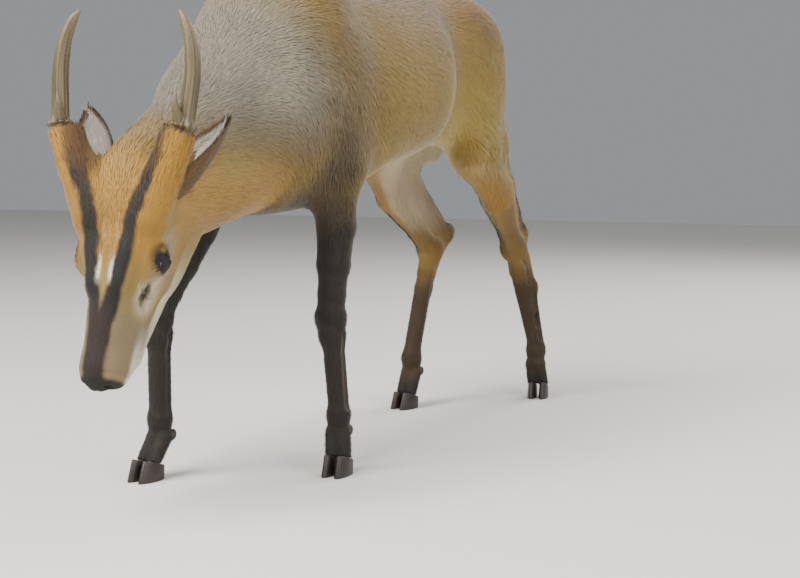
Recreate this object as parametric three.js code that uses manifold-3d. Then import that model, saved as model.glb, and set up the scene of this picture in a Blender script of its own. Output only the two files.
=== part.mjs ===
// A red muntjac stag, life size, standing with its head lowered to the ground.
// Millimetres, +X to the animal's left, +Y towards its tail, +Z up, floor at Z = 0.
// The body is one smooth form made from named muscles and bones, and it is parted into
// its nodes by thin cuts. Antlers, eyes, ears and hooves are pieces of their own.

import * as THREE from 'three';
import { mergeVertices } from 'three/addons/utils/BufferGeometryUtils.js';
import Module from 'manifold-3d';

const wasm = await Module();
wasm.setup();

const GAP = 0.3; // between neighbouring pieces
const LEFT = 1;
const RIGHT = -1;

// Trunk stations from the breast to the buttocks: place along Y, height of the back,
// height of the belly line and half width.
const TRUNK = [
  { y: -104, top: 405, bottom: 335, half: 34 },
  { y: -70, top: 478, bottom: 304, half: 62 },
  { y: -10, top: 534, bottom: 292, half: 78 },
  { y: 70, top: 541, bottom: 294, half: 91 },
  { y: 150, top: 541, bottom: 320, half: 98 },
  { y: 230, top: 547, bottom: 335, half: 95 },
  { y: 300, top: 558, bottom: 347, half: 70 },
  { y: 375, top: 562, bottom: 372, half: 62 },
  { y: 434, top: 536, bottom: 400, half: 50 },
  { y: 468, top: 492, bottom: 424, half: 22 },
];

const NECK = {
  crestBase: [0, -14, 452], crestBaseRadius: 80,
  crestEnd: [-12, -222, 322], crestEndRadius: 42,
  throatBase: [0, -44, 372], throatBaseRadius: 80,
  throatEnd: [-12, -222, 296], throatEndRadius: 42,
};

// The head is modelled level, facing -Y, with the poll at its origin, and then placed.
const HEAD = {
  poll: [-7.5, -271, 341],
  pitchDeg: 71,
  rollDeg: 1.5,
  yawDeg: 9,
};

// The seam is where the pedicle's own solid starts, as a share of its length.
const PEDICLE = { base: [28, -56, -10], top: [59, 24, 14], baseRadius: 19, topRadius: 17.5, seam: 0.42 };

// Antler paths run upwards, outwards and forwards from the top of the pedicle.
const ANTLER = {
  radius: 7.6, tipRadius: 2.2, burrRadius: 12.5, burrEnd: 0.1, ridge: 0.05,
  path: [[-6, 4, 1], [5, 3.5, 0], [26, -2, -2], [53, -10, -4], [77, -22, -5], [93, -36, -6], [100, -46, -7]],
};
const TINE = { radius: 5, tipRadius: 1.3, path: [[6, 1, 1], [12, -3, 7], [21, -7, 12], [31, -10, 13]] };
const EYE = { centre: [34, -88.5, -27], radius: 12.2, gaze: [0.9, -0.34, 0.28], slant: [0.1, 0.5, 1] };
const LID = { halfLength: 1.25, halfHeight: 0.8, lift: 0.8, radius: 2.7 };
const NOSTRIL = { centre: [10, -208, -24], radii: [3.2, 6, 3.4], tiltDeg: 30, turnDeg: 25 };
const GLAND = { centre: [27.5, -122, -28], radii: [4, 11, 1.8], tiltDeg: 20, turnDeg: 12 };
const MOUTH = {
  radius: 1.5,
  path: [[2, -214, -44], [12, -204, -47], [17, -184, -50], [19, -158, -52], [21, -142, -51]],
};
const EAR = {
  root: [38, -22, -26], rootRadius: 12.5, plug: 26, width: 42, wall: 3.4, leastRadius: 1.2,
  leftTip: [83, 66, -42], leftOpening: [-0.4, 0.35, 0.8],
  rightTip: [-70, 69, -34], rightOpening: [0.1, -0.2, 0.97],
  cupStart: 0.12, cupRoot: 1.9, cupTip: 0.8, bow: 4,
};
const TAIL = {
  root: [0, 444, 520], bend: [0, 502, 488], end: [0, 516, 368],
  rootRadius: 20, midRadius: 21, endRadius: 7, bendAt: 0.45,
};

// Leg joints. The left legs stand back and the right legs stand forward, in a slow step.
const LEGS = {
  foreleg_left: { side: LEFT, fore: true, sole: [70, -14], fetlock: [61, 7, 49], knee: [57, -3, 173],
    elbow: [60, 10, 314], shoulder: [60, -66, 392], toeOutDeg: 4 },
  foreleg_right: { side: RIGHT, fore: true, sole: [-99, -128], fetlock: [-96, -105, 50],
    knee: [-89, -116, 178], elbow: [-70, -34, 308], shoulder: [-62, -100, 392], toeOutDeg: 6 },
  hindleg_left: { side: LEFT, fore: false, sole: [78, 556], fetlock: [71, 566, 54], hock: [56, 514, 219],
    heel: [49, 551, 240], stifle: [77, 356, 350], hip: [50, 384, 474], toeOutDeg: 14 },
  hindleg_right: { side: RIGHT, fore: false, sole: [-53, 390], fetlock: [-54, 415, 53], hock: [-47, 458, 218],
    heel: [-41, 498, 240], stifle: [-72, 308, 352], hip: [-50, 384, 470], toeOutDeg: 12 },
};
const HOOF = { length: 36, width: 13.5, height: 21, spread: 1.2 };
const DEWCLAW = { length: 13, radius: 4.2, side: 7.5, back: 11, drop: 5 };

// Grid steps of the faceted solids.
const CELL = {
  torso: [23, 26, 23], neck: [22, 22, 22], head: [8.8, 10, 8.8], pedicle: [10, 12, 10],
  upper: [11.5, 11.5, 22], lower: [9, 9, 20],
};

// Distance helpers. Points are [x, y, z] arrays.
const mix = (a, b, t) => a + (b - a) * t;
const clamp01 = (t) => Math.min(1, Math.max(0, t));
const along = (a, b, t) => [mix(a[0], b[0], t), mix(a[1], b[1], t), mix(a[2], b[2], t)];
const smoothMin = (a, b, blend) => {
  const h = Math.max(blend - Math.abs(a - b), 0) / blend;
  return Math.min(a, b) - (h * h * blend) / 4;
};

// A rounded bar that tapers from one end to the other, narrowed sideways by the squash.
function bar(a, b, ra, rb, squash = 1) {
  const [dx, dy, dz] = [(b[0] - a[0]) / squash, b[1] - a[1], b[2] - a[2]];
  const span = dx * dx + dy * dy + dz * dz;
  return (p) => {
    const [px, py, pz] = [(p[0] - a[0]) / squash, p[1] - a[1], p[2] - a[2]];
    const t = clamp01((px * dx + py * dy + pz * dz) / span);
    const d = Math.hypot(px - t * dx, py - t * dy, pz - t * dz) - mix(ra, rb, t);
    return d * Math.min(1, squash);
  };
}

// An egg with its own three half sizes, tilted in the side view.
function egg(c, r, tiltDeg = 0) {
  const tilt = THREE.MathUtils.degToRad(tiltDeg);
  const [cos, sin] = [Math.cos(tilt), Math.sin(tilt)];
  const least = Math.min(...r);
  return (p) => {
    const [x, y0, z0] = [p[0] - c[0], p[1] - c[1], p[2] - c[2]];
    const [y, z] = [cos * y0 + sin * z0, -sin * y0 + cos * z0];
    const k0 = Math.hypot(x / r[0], y / r[1], z / r[2]);
    const k1 = Math.hypot(x / r[0] ** 2, y / r[1] ** 2, z / r[2] ** 2);
    return k1 < 1e-9 ? -least : (k0 * (k0 - 1)) / k1;
  };
}

const blendAll = (shapes, blend) => (p) => shapes.reduce((d, shape) => smoothMin(d, shape(p), blend), 1e3);
const mirrored = (shape) => (p) => shape([Math.abs(p[0]), p[1], p[2]]);

// Smooth curve through one field of the trunk stations.
function stationValue(field, y) {
  const last = TRUNK.length - 1;
  let i = 0;
  while (i < last - 1 && y > TRUNK[i + 1].y) i++;
  const at = (k) => TRUNK[Math.min(last, Math.max(0, k))];
  const [s0, s1, s2, s3] = [at(i - 1), at(i), at(i + 1), at(i + 2)];
  const width = s2.y - s1.y;
  const t = clamp01((y - s1.y) / width);
  const m1 = ((s2[field] - s0[field]) / (s2.y - s0.y)) * width;
  const m2 = ((s3[field] - s1[field]) / (s3.y - s1.y)) * width;
  const [t2, t3] = [t * t, t * t * t];
  return (2 * t3 - 3 * t2 + 1) * s1[field] + (t3 - 2 * t2 + t) * m1
    + (3 * t2 - 2 * t3) * s2[field] + (t3 - t2) * m2;
}

function trunkForm(p) {
  const [first, last] = [TRUNK[0].y, TRUNK[TRUNK.length - 1].y];
  const y = Math.min(last, Math.max(first, p[1]));
  const top = stationValue('top', y);
  const bottom = stationValue('bottom', y);
  const half = stationValue('half', y);
  const high = (top - bottom) / 2;
  const z = p[2] - (top + bottom) / 2;
  const waist = half * (1 - 0.10 * (z / high)); // a little fuller below than above
  const ring = (Math.hypot(p[0] / waist, z / high) - 1) * Math.min(half, high);
  return Math.hypot(Math.max(ring, 0), p[1] - y) + Math.min(ring, 0);
}

// Shoulder blade, upper arm and elbow, blended into the chest.
function shoulderForm(leg) {
  const { side, elbow, shoulder } = leg;
  const bladeTop = [side * 38, shoulder[1] + 62, 505];
  return blendAll([
    bar(bladeTop, [side * 54, shoulder[1] + 8, shoulder[2]], 34, 40, 0.75),
    bar([side * 56, shoulder[1] + 6, shoulder[2]], [side * 56, elbow[1] - 4, elbow[2] + 22], 40, 34, 0.8),
    bar([side * 50, shoulder[1] + 70, 440], [side * 56, elbow[1] + 8, elbow[2] + 22], 40, 24, 0.8),
  ], 30);
}

// Forearm, knee, cannon, fetlock and pasterns.
function forelegForm(leg) {
  const { elbow, knee, fetlock, side } = leg;
  const lowKnee = along(knee, fetlock, 0.16);
  const muscle = along(elbow, knee, 0.3);
  return blendAll([
    bar([side * 56, elbow[1] - 6, elbow[2] + 18], muscle, 28, 22),
    bar([elbow[0] - side * 4, elbow[1] + 12, elbow[2] + 16], [elbow[0], elbow[1] + 6, elbow[2] - 22], 12, 12),
    bar(muscle, along(elbow, knee, 0.6), 22, 18.5),
    bar(along(elbow, knee, 0.6), along(elbow, knee, 0.82), 18.5, 15.5),
    bar(along(elbow, knee, 0.82), knee, 15.5, 16.4),
    bar(knee, lowKnee, 16.2, 14.2),
    bar([lowKnee[0], lowKnee[1] - 1, lowKnee[2]], [fetlock[0], fetlock[1] - 3, fetlock[2] + 22], 11.6, 10.6),
    bar([lowKnee[0], lowKnee[1] + 7, lowKnee[2]], [fetlock[0], fetlock[1] + 6, fetlock[2] + 14], 8.2, 8.6),
    pasternForm(leg),
  ], 12);
}

// Thigh, buttock and stifle, blended into the rump.
function haunchForm(leg) {
  const { side, hip, stifle } = leg;
  return blendAll([
    egg([side * 42, hip[1] + 2, hip[2] - 26], [42, 72, 92], 12),
    bar([side * 44, hip[1] + 2, hip[2] + 10],
      [stifle[0] - side * 18, stifle[1] + 8, stifle[2] + 8], 48, 42, 0.74),
    bar([side * 29, hip[1] + 52, hip[2] - 10], [side * 40, hip[1] + 40, hip[2] - 104], 29, 33, 0.85),
  ], 36);
}

// Gaskin, hock with its heel bone, cannon, fetlock and pasterns.
function hindlegForm(leg) {
  const { side, stifle, hock, heel, fetlock } = leg;
  const calf = along(stifle, hock, 0.42);
  const aboveHock = along(stifle, hock, 0.8);
  const cord = [mix(calf[0], heel[0], 0.4), calf[1] + 34, calf[2] + 14];
  return blendAll([
    bar([stifle[0] - side * 13, stifle[1] + 13, stifle[2] + 2], calf, 40, 27, 0.74),
    bar([stifle[0] - side * 18, stifle[1] + 62, stifle[2] + 4], cord, 36, 21, 0.8),
    bar(calf, aboveHock, 26, 15.5, 0.9),
    bar(cord, along(hock, heel, 0.9), 18, 8.5),
    bar(along(calf, cord, 0.5), along(aboveHock, heel, 0.5), 17, 8),
    bar(aboveHock, hock, 14.5, 16),
    bar(hock, heel, 13.5, 9),
    bar(hock, along(hock, fetlock, 0.2), 15.2, 12.6),
    bar(heel, [fetlock[0], along(hock, fetlock, 0.35)[1] + 9, along(hock, fetlock, 0.35)[2]], 8.5, 8.4),
    bar(along(hock, fetlock, 0.2), [fetlock[0], fetlock[1] - 3, fetlock[2] + 20], 12.2, 10.8),
    bar([fetlock[0], along(hock, fetlock, 0.35)[1] + 9, along(hock, fetlock, 0.35)[2]],
      [fetlock[0], fetlock[1] + 6, fetlock[2] + 14], 8.4, 8.6),
    pasternForm(leg),
  ], 13);
}

// Frame of a foot: its toe direction and its sideways direction on the floor.
function footFrame(leg) {
  const turn = THREE.MathUtils.degToRad(leg.toeOutDeg) * leg.side;
  return { toe: [Math.sin(turn), -Math.cos(turn)], out: [Math.cos(turn), Math.sin(turn)] };
}

const claw = (leg, way) => {
  const { toe, out } = footFrame(leg);
  const shift = way * (HOOF.width / 2 + HOOF.spread);
  return { x: leg.sole[0] + out[0] * shift, y: leg.sole[1] + out[1] * shift, toe, out };
};

function pasternForm(leg) {
  const { fetlock } = leg;
  const digits = [LEFT, RIGHT].map((way) => {
    const c = claw(leg, way);
    return bar([fetlock[0] + c.out[0] * way * 6, fetlock[1] - 2, fetlock[2] - 6],
      [c.x - c.toe[0] * 4, c.y - c.toe[1] * 4, HOOF.height - 3], 9.6, 8.2);
  });
  const joint = bar([fetlock[0], fetlock[1] - 2, fetlock[2] + 10],
    [fetlock[0], fetlock[1], fetlock[2] - 3], 12.4, 13.2);
  return blendAll([joint,
    ...digits], 5);
}

// Head, in its own level frame.
function headForm() {
  const pair = mirrored(blendAll([
    egg([31, -87, -25], [15, 22, 16]), // rim of the eye socket
    egg([22, -72, -60], [19, 40, 36]), // cheek
    bar([19, -58, -86], [7, -172, -61], 16, 10), // lower jaw
    bar([22, -104, -48], [12.5, -172, -37], 15, 11), // side of the face
    bar([27, -44, -3], [13, -120, -8], 10.5, 7), // frontal ridge
    egg([12.5, -192, -34], [9.5, 16, 13]), // upper lip
  ], 12));
  const middle = blendAll([
    egg([0, -38, -32], [41, 54, 34]), // braincase
    egg([0, -68, -20], [33, 42, 21]), // forehead
    bar([0, -96, -33], [0, -176, -30], 30, 21), // face
    bar([0, -88, -16], [0, -190, -20], 15, 11.5), // bridge of the nose
    egg([0, -196, -24], [17.5, 16, 16]), // muzzle
    egg([0, -178, -60], [13.5, 21, 11]), // chin
    bar([0, -18, -58], [0, 4, -64], 38, 42, 0.85), // back of the head
  ], 14);
  return blendAll([pair, middle], 12);
}

function pedicleForm(side) {
  const at = ([x, y, z]) => [side * x, y, z];
  return bar(at(PEDICLE.base), at(PEDICLE.top), PEDICLE.baseRadius, PEDICLE.topRadius);
}

// Places of the head frame in the part's frame.
const headTurn = [HEAD.pitchDeg, HEAD.rollDeg, HEAD.yawDeg].map(THREE.MathUtils.degToRad);
const headPlace = new THREE.Matrix4()
  .makeRotationFromEuler(new THREE.Euler(...headTurn, 'ZYX'))
  .setPosition(...HEAD.poll);
const headInverse = headPlace.clone().invert();
const place = (m, [x, y, z]) => {
  const e = m.elements;
  return [e[0] * x + e[4] * y + e[8] * z + e[12], e[1] * x + e[5] * y + e[9] * z + e[13],
    e[2] * x + e[6] * y + e[10] * z + e[14]];
};
const fromHead = (p) => place(headPlace, p);
const toHead = (p) => place(headInverse, p);

// The whole body as one smooth field: negative inside.
const neckForm = blendAll([
  bar(NECK.crestBase, NECK.crestEnd, NECK.crestBaseRadius, NECK.crestEndRadius, 0.8),
  bar(NECK.throatBase, NECK.throatEnd, NECK.throatBaseRadius, NECK.throatEndRadius, 0.86),
], 60);
const shoulders = blendAll([shoulderForm(LEGS.foreleg_left), shoulderForm(LEGS.foreleg_right)], 20);
const haunches = blendAll([haunchForm(LEGS.hindleg_left), haunchForm(LEGS.hindleg_right)], 24);
const legForms = Object.fromEntries(Object.entries(LEGS).map(([name, leg]) =>
  [name, leg.fore ? forelegForm(leg) : hindlegForm(leg)]));
const headShape = headForm();
const pedicles = { [LEFT]: pedicleForm(LEFT), [RIGHT]: pedicleForm(RIGHT) };

function barrelForm(p) {
  return smoothMin(smoothMin(trunkForm(p), shoulders(p), 30), haunches(p), 34);
}
function coreForm(p) {
  let d = smoothMin(trunkForm(p), neckForm(p), 46);
  d = smoothMin(d, shoulders(p), 30);
  d = smoothMin(d, haunches(p), 34);
  const h = toHead(p);
  let head = headShape(h);
  head = smoothMin(head, smoothMin(pedicles[LEFT](h), pedicles[RIGHT](h), 4), 11);
  return smoothMin(d, head, 26);
}
const LEG_BLEND = 16;
function bodyForm(p) {
  return Object.values(legForms).reduce((d, form) => smoothMin(d, form(p), LEG_BLEND), coreForm(p));
}

// Turns a field into a closed mesh over a box, one vertex for each grid cell that the
// surface crosses, and then draws each vertex onto the surface.
function meshOfField(field, low, high, step) {
  const count = [0, 1, 2].map((k) => Math.ceil((high[k] - low[k]) / step[k]) + 1);
  const [nx, ny, nz] = count;
  const coord = (i, j, k) => [low[0] + i * step[0], low[1] + j * step[1], low[2] + k * step[2]];
  const index = (i, j, k) => (i * ny + j) * nz + k;
  const value = new Float64Array(nx * ny * nz);
  for (let i = 0; i < nx; i++) {
    for (let j = 0; j < ny; j++) {
      for (let k = 0; k < nz; k++) {
        const edge = i === 0 || j === 0 || k === 0 || i === nx - 1 || j === ny - 1 || k === nz - 1;
        value[index(i, j, k)] = edge ? 1 : field(coord(i, j, k));
      }
    }
  }
  unpinch(value, count, index);
  const corner = [0, 1, 2, 3, 4, 5, 6, 7].map((c) => [c & 1, (c >> 1) & 1, (c >> 2) & 1]);
  const edges = [];
  corner.forEach((a, i) => corner.forEach((b, j) => {
    const apart = Math.abs(a[0] - b[0]) + Math.abs(a[1] - b[1]) + Math.abs(a[2] - b[2]);
    if (i < j && apart === 1) edges.push([i, j]);
  }));
  const vertexOf = new Int32Array(nx * ny * nz).fill(-1);
  const vertices = [];
  for (let i = 0; i < nx - 1; i++) {
    for (let j = 0; j < ny - 1; j++) {
      for (let k = 0; k < nz - 1; k++) {
        const v = corner.map(([a, b, c]) => value[index(i + a, j + b, k + c)]);
        const crossed = edges.filter(([a, b]) => v[a] < 0 !== v[b] < 0);
        if (!crossed.length) continue;
        const sum = [0, 0, 0];
        for (const [a, b] of crossed) {
          const t = v[a] / (v[a] - v[b]);
          for (let m = 0; m < 3; m++) sum[m] += mix(corner[a][m], corner[b][m], t);
        }
        vertexOf[index(i, j, k)] = vertices.length;
        vertices.push(drawOnto(field, coord(i + sum[0] / crossed.length, j + sum[1] / crossed.length,
          k + sum[2] / crossed.length), step));
      }
    }
  }
  const faces = [];
  const axes = [[0, 1, 2], [1, 2, 0], [2, 0, 1]];
  for (let i = 0; i < nx - 1; i++) {
    for (let j = 0; j < ny - 1; j++) {
      for (let k = 0; k < nz - 1; k++) {
        const here = [i, j, k];
        for (const [a, b, c] of axes) {
          if (here[b] === 0 || here[c] === 0) continue;
          const next = [...here];
          next[a] += 1;
          const [inside, beyond] = [value[index(...here)] < 0, value[index(...next)] < 0];
          if (inside === beyond) continue;
          const quad = [[0, 0], [-1, 0], [-1, -1], [0, -1]].map(([db, dc]) => {
            const cell = [...here];
            cell[b] += db;
            cell[c] += dc;
            return vertexOf[index(...cell)];
          });
          const [q0, q1, q2, q3] = inside ? quad : quad.reverse();
          const apart = (m, n) => Math.hypot(...vertices[m].map((x, t) => x - vertices[n][t]));
          if (apart(q0, q2) < apart(q1, q3)) faces.push(q0, q1, q2, q0, q2, q3);
          else faces.push(q1, q2, q3, q1, q3, q0);
        }
      }
    }
  }
  return solid(vertices.flat(), faces);
}

// Where two corners of a grid square touch only across its diagonal, one corner changes
// side, so that no edge of the surface is shared by four faces.
function unpinch(value, count, index) {
  const rim = (c) => c.some((n, k) => n === 0 || n === count[k] - 1);
  for (let changed = true, pass = 0; changed && pass < 20; pass++) {
    changed = false;
    for (let i = 0; i < count[0] - 1; i++) {
      for (let j = 0; j < count[1] - 1; j++) {
        for (let k = 0; k < count[2] - 1; k++) {
          for (const [a, b] of [[0, 1], [1, 2], [0, 2]]) {
            const square = [[0, 0], [1, 0], [1, 1], [0, 1]].map(([da, db]) => {
              const c = [i, j, k];
              c[a] += da;
              c[b] += db;
              return c;
            });
            const v = square.map((c) => value[index(...c)]);
            const [s0, s1, s2, s3] = v.map((x) => x < 0);
            if (s0 !== s2 || s1 !== s3 || s0 === s1) continue;
            const outside = [0, 1, 2, 3].filter((m) => v[m] >= 0 && !rim(square[m]))
              .sort((m, n) => v[m] - v[n]);
            const pick = outside.length ? outside[0] : [0, 1, 2, 3].find((m) => v[m] < 0);
            value[index(...square[pick])] = v[pick] < 0 ? 0.01 : -0.01;
            changed = true;
          }
        }
      }
    }
  }
}

function drawOnto(field, p, step) {
  const probe = 0.5;
  const reach = Math.min(...step) * 0.45;
  const from = [...p];
  for (let pass = 0; pass < 3; pass++) {
    const d = field(p);
    const g = [0, 1, 2].map((k) => {
      const q = [...p];
      q[k] += probe;
      return (field(q) - d) / probe;
    });
    const size = g[0] ** 2 + g[1] ** 2 + g[2] ** 2 || 1;
    for (let k = 0; k < 3; k++) {
      p[k] = Math.min(from[k] + reach, Math.max(from[k] - reach, p[k] - (d * g[k]) / size));
    }
  }
  return p;
}

// Solids for the cuts and joins.
function solid(positions, faces) {
  return new wasm.Manifold(new wasm.Mesh({
    numProp: 3, vertProperties: new Float32Array(positions), triVerts: new Uint32Array(faces),
  }));
}

function solidOf(geometry, matrix = new THREE.Matrix4()) {
  const g = geometry.clone().applyMatrix4(matrix);
  g.deleteAttribute('normal');
  g.deleteAttribute('uv');
  const merged = mergeVertices(g, 1e-3);
  return solid(merged.attributes.position.array, merged.index.array);
}

function geometryOf(made) {
  const m = made.getMesh();
  const geometry = new THREE.BufferGeometry();
  const points = new Float32Array(m.numVert * 3);
  for (let i = 0; i < m.numVert; i++) {
    points.set(m.vertProperties.subarray(i * m.numProp, i * m.numProp + 3), i * 3);
  }
  geometry.setAttribute('position', new THREE.BufferAttribute(points, 3));
  geometry.setIndex([...m.triVerts]);
  geometry.computeVertexNormals();
  return geometry;
}

const largest = (made) => made.decompose().sort((a, b) => b.volume() - a.volume())[0];
const vec = (p) => new THREE.Vector3(...p);

// The part of a solid that lies beyond a plane, or short of it, half a gap off the plane.
function beyond(made, point, towards) {
  const normal = vec(towards).normalize();
  return made.trimByPlane(normal.toArray(), normal.dot(vec(point)) + GAP / 2);
}
const short = (made, point, towards) => beyond(made, point, towards.map((x) => -x));

// A block that holds everything past a seam, near it.
const BLOCK = { width: 64, length: 110 };
function pastPlane(point, way) {
  const axis = vec(way).normalize();
  const turn = new THREE.Quaternion().setFromUnitVectors(new THREE.Vector3(0, 0, 1), axis);
  const centre = vec(point).addScaledVector(axis, BLOCK.length / 2 - GAP / 2);
  return solidOf(new THREE.BoxGeometry(BLOCK.width, BLOCK.width, BLOCK.length), new THREE.Matrix4()
    .compose(centre, turn, new THREE.Vector3(1, 1, 1)));
}

// A closed tube along a curve, with a radius for each place and rounded ends.
function tube(points, radiusAt, rings, sides, ridge = 0) {
  const curve = new THREE.CatmullRomCurve3(points.map(vec));
  const frames = curve.computeFrenetFrames(rings, false);
  const positions = [];
  const faces = [];
  for (let i = 0; i <= rings; i++) {
    const centre = curve.getPointAt(i / rings);
    for (let j = 0; j < sides; j++) {
      const turn = (j / sides) * Math.PI * 2;
      const r = radiusAt(i / rings) * (1 + (j % 2 ? -ridge : ridge));
      const p = centre.clone().addScaledVector(frames.normals[i], r * Math.cos(turn))
        .addScaledVector(frames.binormals[i], r * Math.sin(turn));
      positions.push(p.x, p.y, p.z);
    }
  }
  const ends = [0, rings].map((i) => {
    const p = curve.getPointAt(i / rings)
      .addScaledVector(frames.tangents[i], (i ? 0.5 : -0.5) * radiusAt(i / rings));
    positions.push(p.x, p.y, p.z);
    return positions.length / 3 - 1;
  });
  for (let j = 0; j < sides; j++) {
    const k = (j + 1) % sides;
    faces.push(ends[0], k, j, ends[1], rings * sides + j, rings * sides + k);
    for (let i = 0; i < rings; i++) {
      const [a, b] = [i * sides, (i + 1) * sides];
      faces.push(a + j, a + k, b + k, a + j, b + k, b + j);
    }
  }
  return solid(positions, faces);
}

// The flesh, node by node. Each grid reaches past its cuts, and the cuts are flat.
const AT = {
  neckBase: { point: [0, -92, 400], way: [-0.03, -1, -0.16] },
  neckEnd: { point: [-12, -214, 322], way: [-0.1, -0.97, -0.2] },
  loins: { point: [0, 262, 450], way: [0, 1, 0] },
  foreTop: 286, hindTop: 312,
};
const box = (x0, x1, y0, y1, z0, z1) => [[x0, y0, z0], [x1, y1, z1]];

const fleshOf = (range, step, field = bodyForm) => largest(meshOfField(field, range[0], range[1], step));
const OUTER = 130;

function trunkPieces() {
  const range = box(-OUTER, OUTER, -190, 520, AT.foreTop - 30, 600);
  let whole = fleshOf(range, CELL.torso);
  whole = beyond(whole, AT.neckBase.point, AT.neckBase.way.map((x) => -x));
  const front = short(beyond(whole, [0, 0, AT.foreTop], [0, 0, 1]), AT.loins.point, AT.loins.way);
  const rear = beyond(beyond(whole, [0, 0, AT.hindTop], [0, 0, 1]), AT.loins.point, AT.loins.way);
  return [['chest', front], ['hindquarters', largest(rear.subtract(pastPlane(TAIL.root, tailWay)))]];
}

const tailWay = vec(TAIL.bend).sub(vec(TAIL.root)).toArray();

function neckPiece() {
  const whole = fleshOf(box(-110, 100, -300, -10, 210, 560), CELL.neck, coreForm);
  return short(beyond(whole, AT.neckBase.point, AT.neckBase.way), AT.neckEnd.point, AT.neckEnd.way);
}

// Soles lie on the floor, and the top of each hoof slopes down to its heel.
const coronet = (leg) => {
  const { toe } = footFrame(leg);
  return { point: [leg.sole[0], leg.sole[1], HOOF.height], way: [-toe[0] * 0.3, -toe[1] * 0.3, 1] };
};

function clawPiece(leg, way, grow = 0) {
  const { x, y, toe, out } = claw(leg, way);
  const outline = [[-0.46, 0.3], [-0.3, 0.47], [0, 0.5], [0.28, 0.42], [0.5, 0.16], [0.53, -0.1],
    [0.4, -0.34], [0.1, -0.46], [-0.3, -0.46], [-0.46, -0.3]];
  const rings = [[0, 1, 1], [0.5, 0.93, 0.95], [1.3, 0.78, 0.86]];
  const positions = [];
  const faces = [];
  rings.forEach(([up, long, wide]) => outline.forEach(([a, b]) => {
    const [u, v] = [a * HOOF.length * long - up * 4, b * way * (HOOF.width * wide + grow)];
    positions.push(x + toe[0] * u + out[0] * v, y + toe[1] * u + out[1] * v, up * HOOF.height);
  }));
  const n = outline.length;
  for (let i = 0; i < rings.length - 1; i++) {
    for (let j = 0; j < n; j++) {
      const [a, b, c, d] = [i * n + j, i * n + ((j + 1) % n), (i + 1) * n + ((j + 1) % n), (i + 1) * n + j];
      faces.push(...(way > 0 ? [a, c, b, a, d, c] : [a, b, c, a, c, d]));
    }
  }
  const top = (rings.length - 1) * n;
  for (let j = 1; j < n - 1; j++) {
    const [a, b] = way > 0 ? [j, j + 1] : [j + 1, j];
    faces.push(0, a, b, top, top + b, top + a);
  }
  const { point, way: slope } = coronet(leg);
  return short(solid(positions, faces), point, slope);
}

function dewclawPiece(leg, way, grow = 0) {
  const { toe, out } = footFrame(leg);
  const { fetlock } = leg;
  const [side, back] = [DEWCLAW.side * way, DEWCLAW.back];
  const root = [fetlock[0] + out[0] * side - toe[0] * back, fetlock[1] + out[1] * side - toe[1] * back,
    fetlock[2] - DEWCLAW.drop];
  const matrix = new THREE.Matrix4().compose(vec(root),
    new THREE.Quaternion().setFromEuler(new THREE.Euler(THREE.MathUtils.degToRad(-18), 0, 0)),
    new THREE.Vector3(1, 1.15, DEWCLAW.length / DEWCLAW.radius / 2));
  return solidOf(new THREE.IcosahedronGeometry(DEWCLAW.radius + grow, 1), matrix);
}

function legPieces(name, leg) {
  const top = leg.fore ? AT.foreTop : AT.hindTop;
  const joint = leg.fore ? leg.knee : leg.hock;
  const xs = [leg.sole[0], leg.fetlock[0], joint[0], (leg.elbow || leg.stifle)[0]];
  const ys = [leg.sole[1], leg.fetlock[1], joint[1], (leg.elbow || leg.stifle)[1]];
  const inner = leg.side > 0 ? 12 : -OUTER;
  const outer = leg.side > 0 ? OUTER : -12;
  const rangeOf = (z0, z1) => box(inner, outer, Math.min(...ys) - 75, Math.max(...ys) + 110, z0, z1);
  const form = (p) => smoothMin(barrelForm(p), legForms[name](p), LEG_BLEND);
  const seam = leg.fore ? [0, 0, leg.knee[2] + 2] : [0, leg.hock[1], leg.hock[2] - 26];
  const tilt = leg.fore ? [0, 0, 1] : [0, 0.35, 1];
  const upper = short(beyond(fleshOf(rangeOf(seam[2] - 60, top + 32), CELL.upper, form), seam, tilt),
    [0, 0, top], [0, 0, 1]);
  const { point, way } = coronet(leg);
  let lower = short(fleshOf(rangeOf(-6, seam[2] + 60), CELL.lower, form), seam, tilt);
  lower = beyond(lower, point, way);
  const sides = [['outer', leg.side], ['inner', -leg.side]];
  for (const [, way2] of sides) lower = lower.subtract(dewclawPiece(leg, way2, GAP));
  return [
    [`${name}_upper`, largest(upper)], [`${name}_lower`, largest(lower)],
    ...sides.map(([label, way2]) => [`hoof_${name}_${label}`, clawPiece(leg, way2)]),
    ...sides.map(([label, way2]) => [`dewclaw_${name}_${label}`, dewclawPiece(leg, way2)]),
  ];
}

// Pieces that are built in the head's own frame and then placed with it.
const placed = (made) => made.transform(headPlace.toArray());
const sideways = (side, [x, y, z]) => [side * x, y, z];
const pedicleWay = (side) => {
  const [a, b] = [PEDICLE.base, PEDICLE.top];
  return sideways(side, [b[0] - a[0], b[1] - a[1], b[2] - a[2]]);
};
const pedicleSeam = (side) => sideways(side, along(PEDICLE.base, PEDICLE.top, PEDICLE.seam));

function headPiece() {
  let whole = fleshOf(box(-62, 62, -222, 66, -122, 40), CELL.head, headAndNeck);
  whole = beyond(whole, toHead(AT.neckEnd.point), turned(AT.neckEnd.way));
  for (const side of [LEFT, RIGHT]) {
    whole = whole.subtract(pastPlane(pedicleSeam(side), pedicleWay(side)));
    whole = whole.add(onSide(side, lidRing())).subtract(eyePiece(side, GAP));
    for (const cut of [nostril(), glandSlit(), mouthLine()]) whole = whole.subtract(onSide(side, cut));
    whole = whole.subtract(earRoot(side, GAP));
  }
  return largest(whole);
}

// The head frame's own view of the body, and of a direction.
const headAndNeck = (h) => coreForm(fromHead(h));
const turned = (way) => vec(way).applyMatrix4(headInverse.clone().setPosition(0, 0, 0)).toArray();

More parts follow.
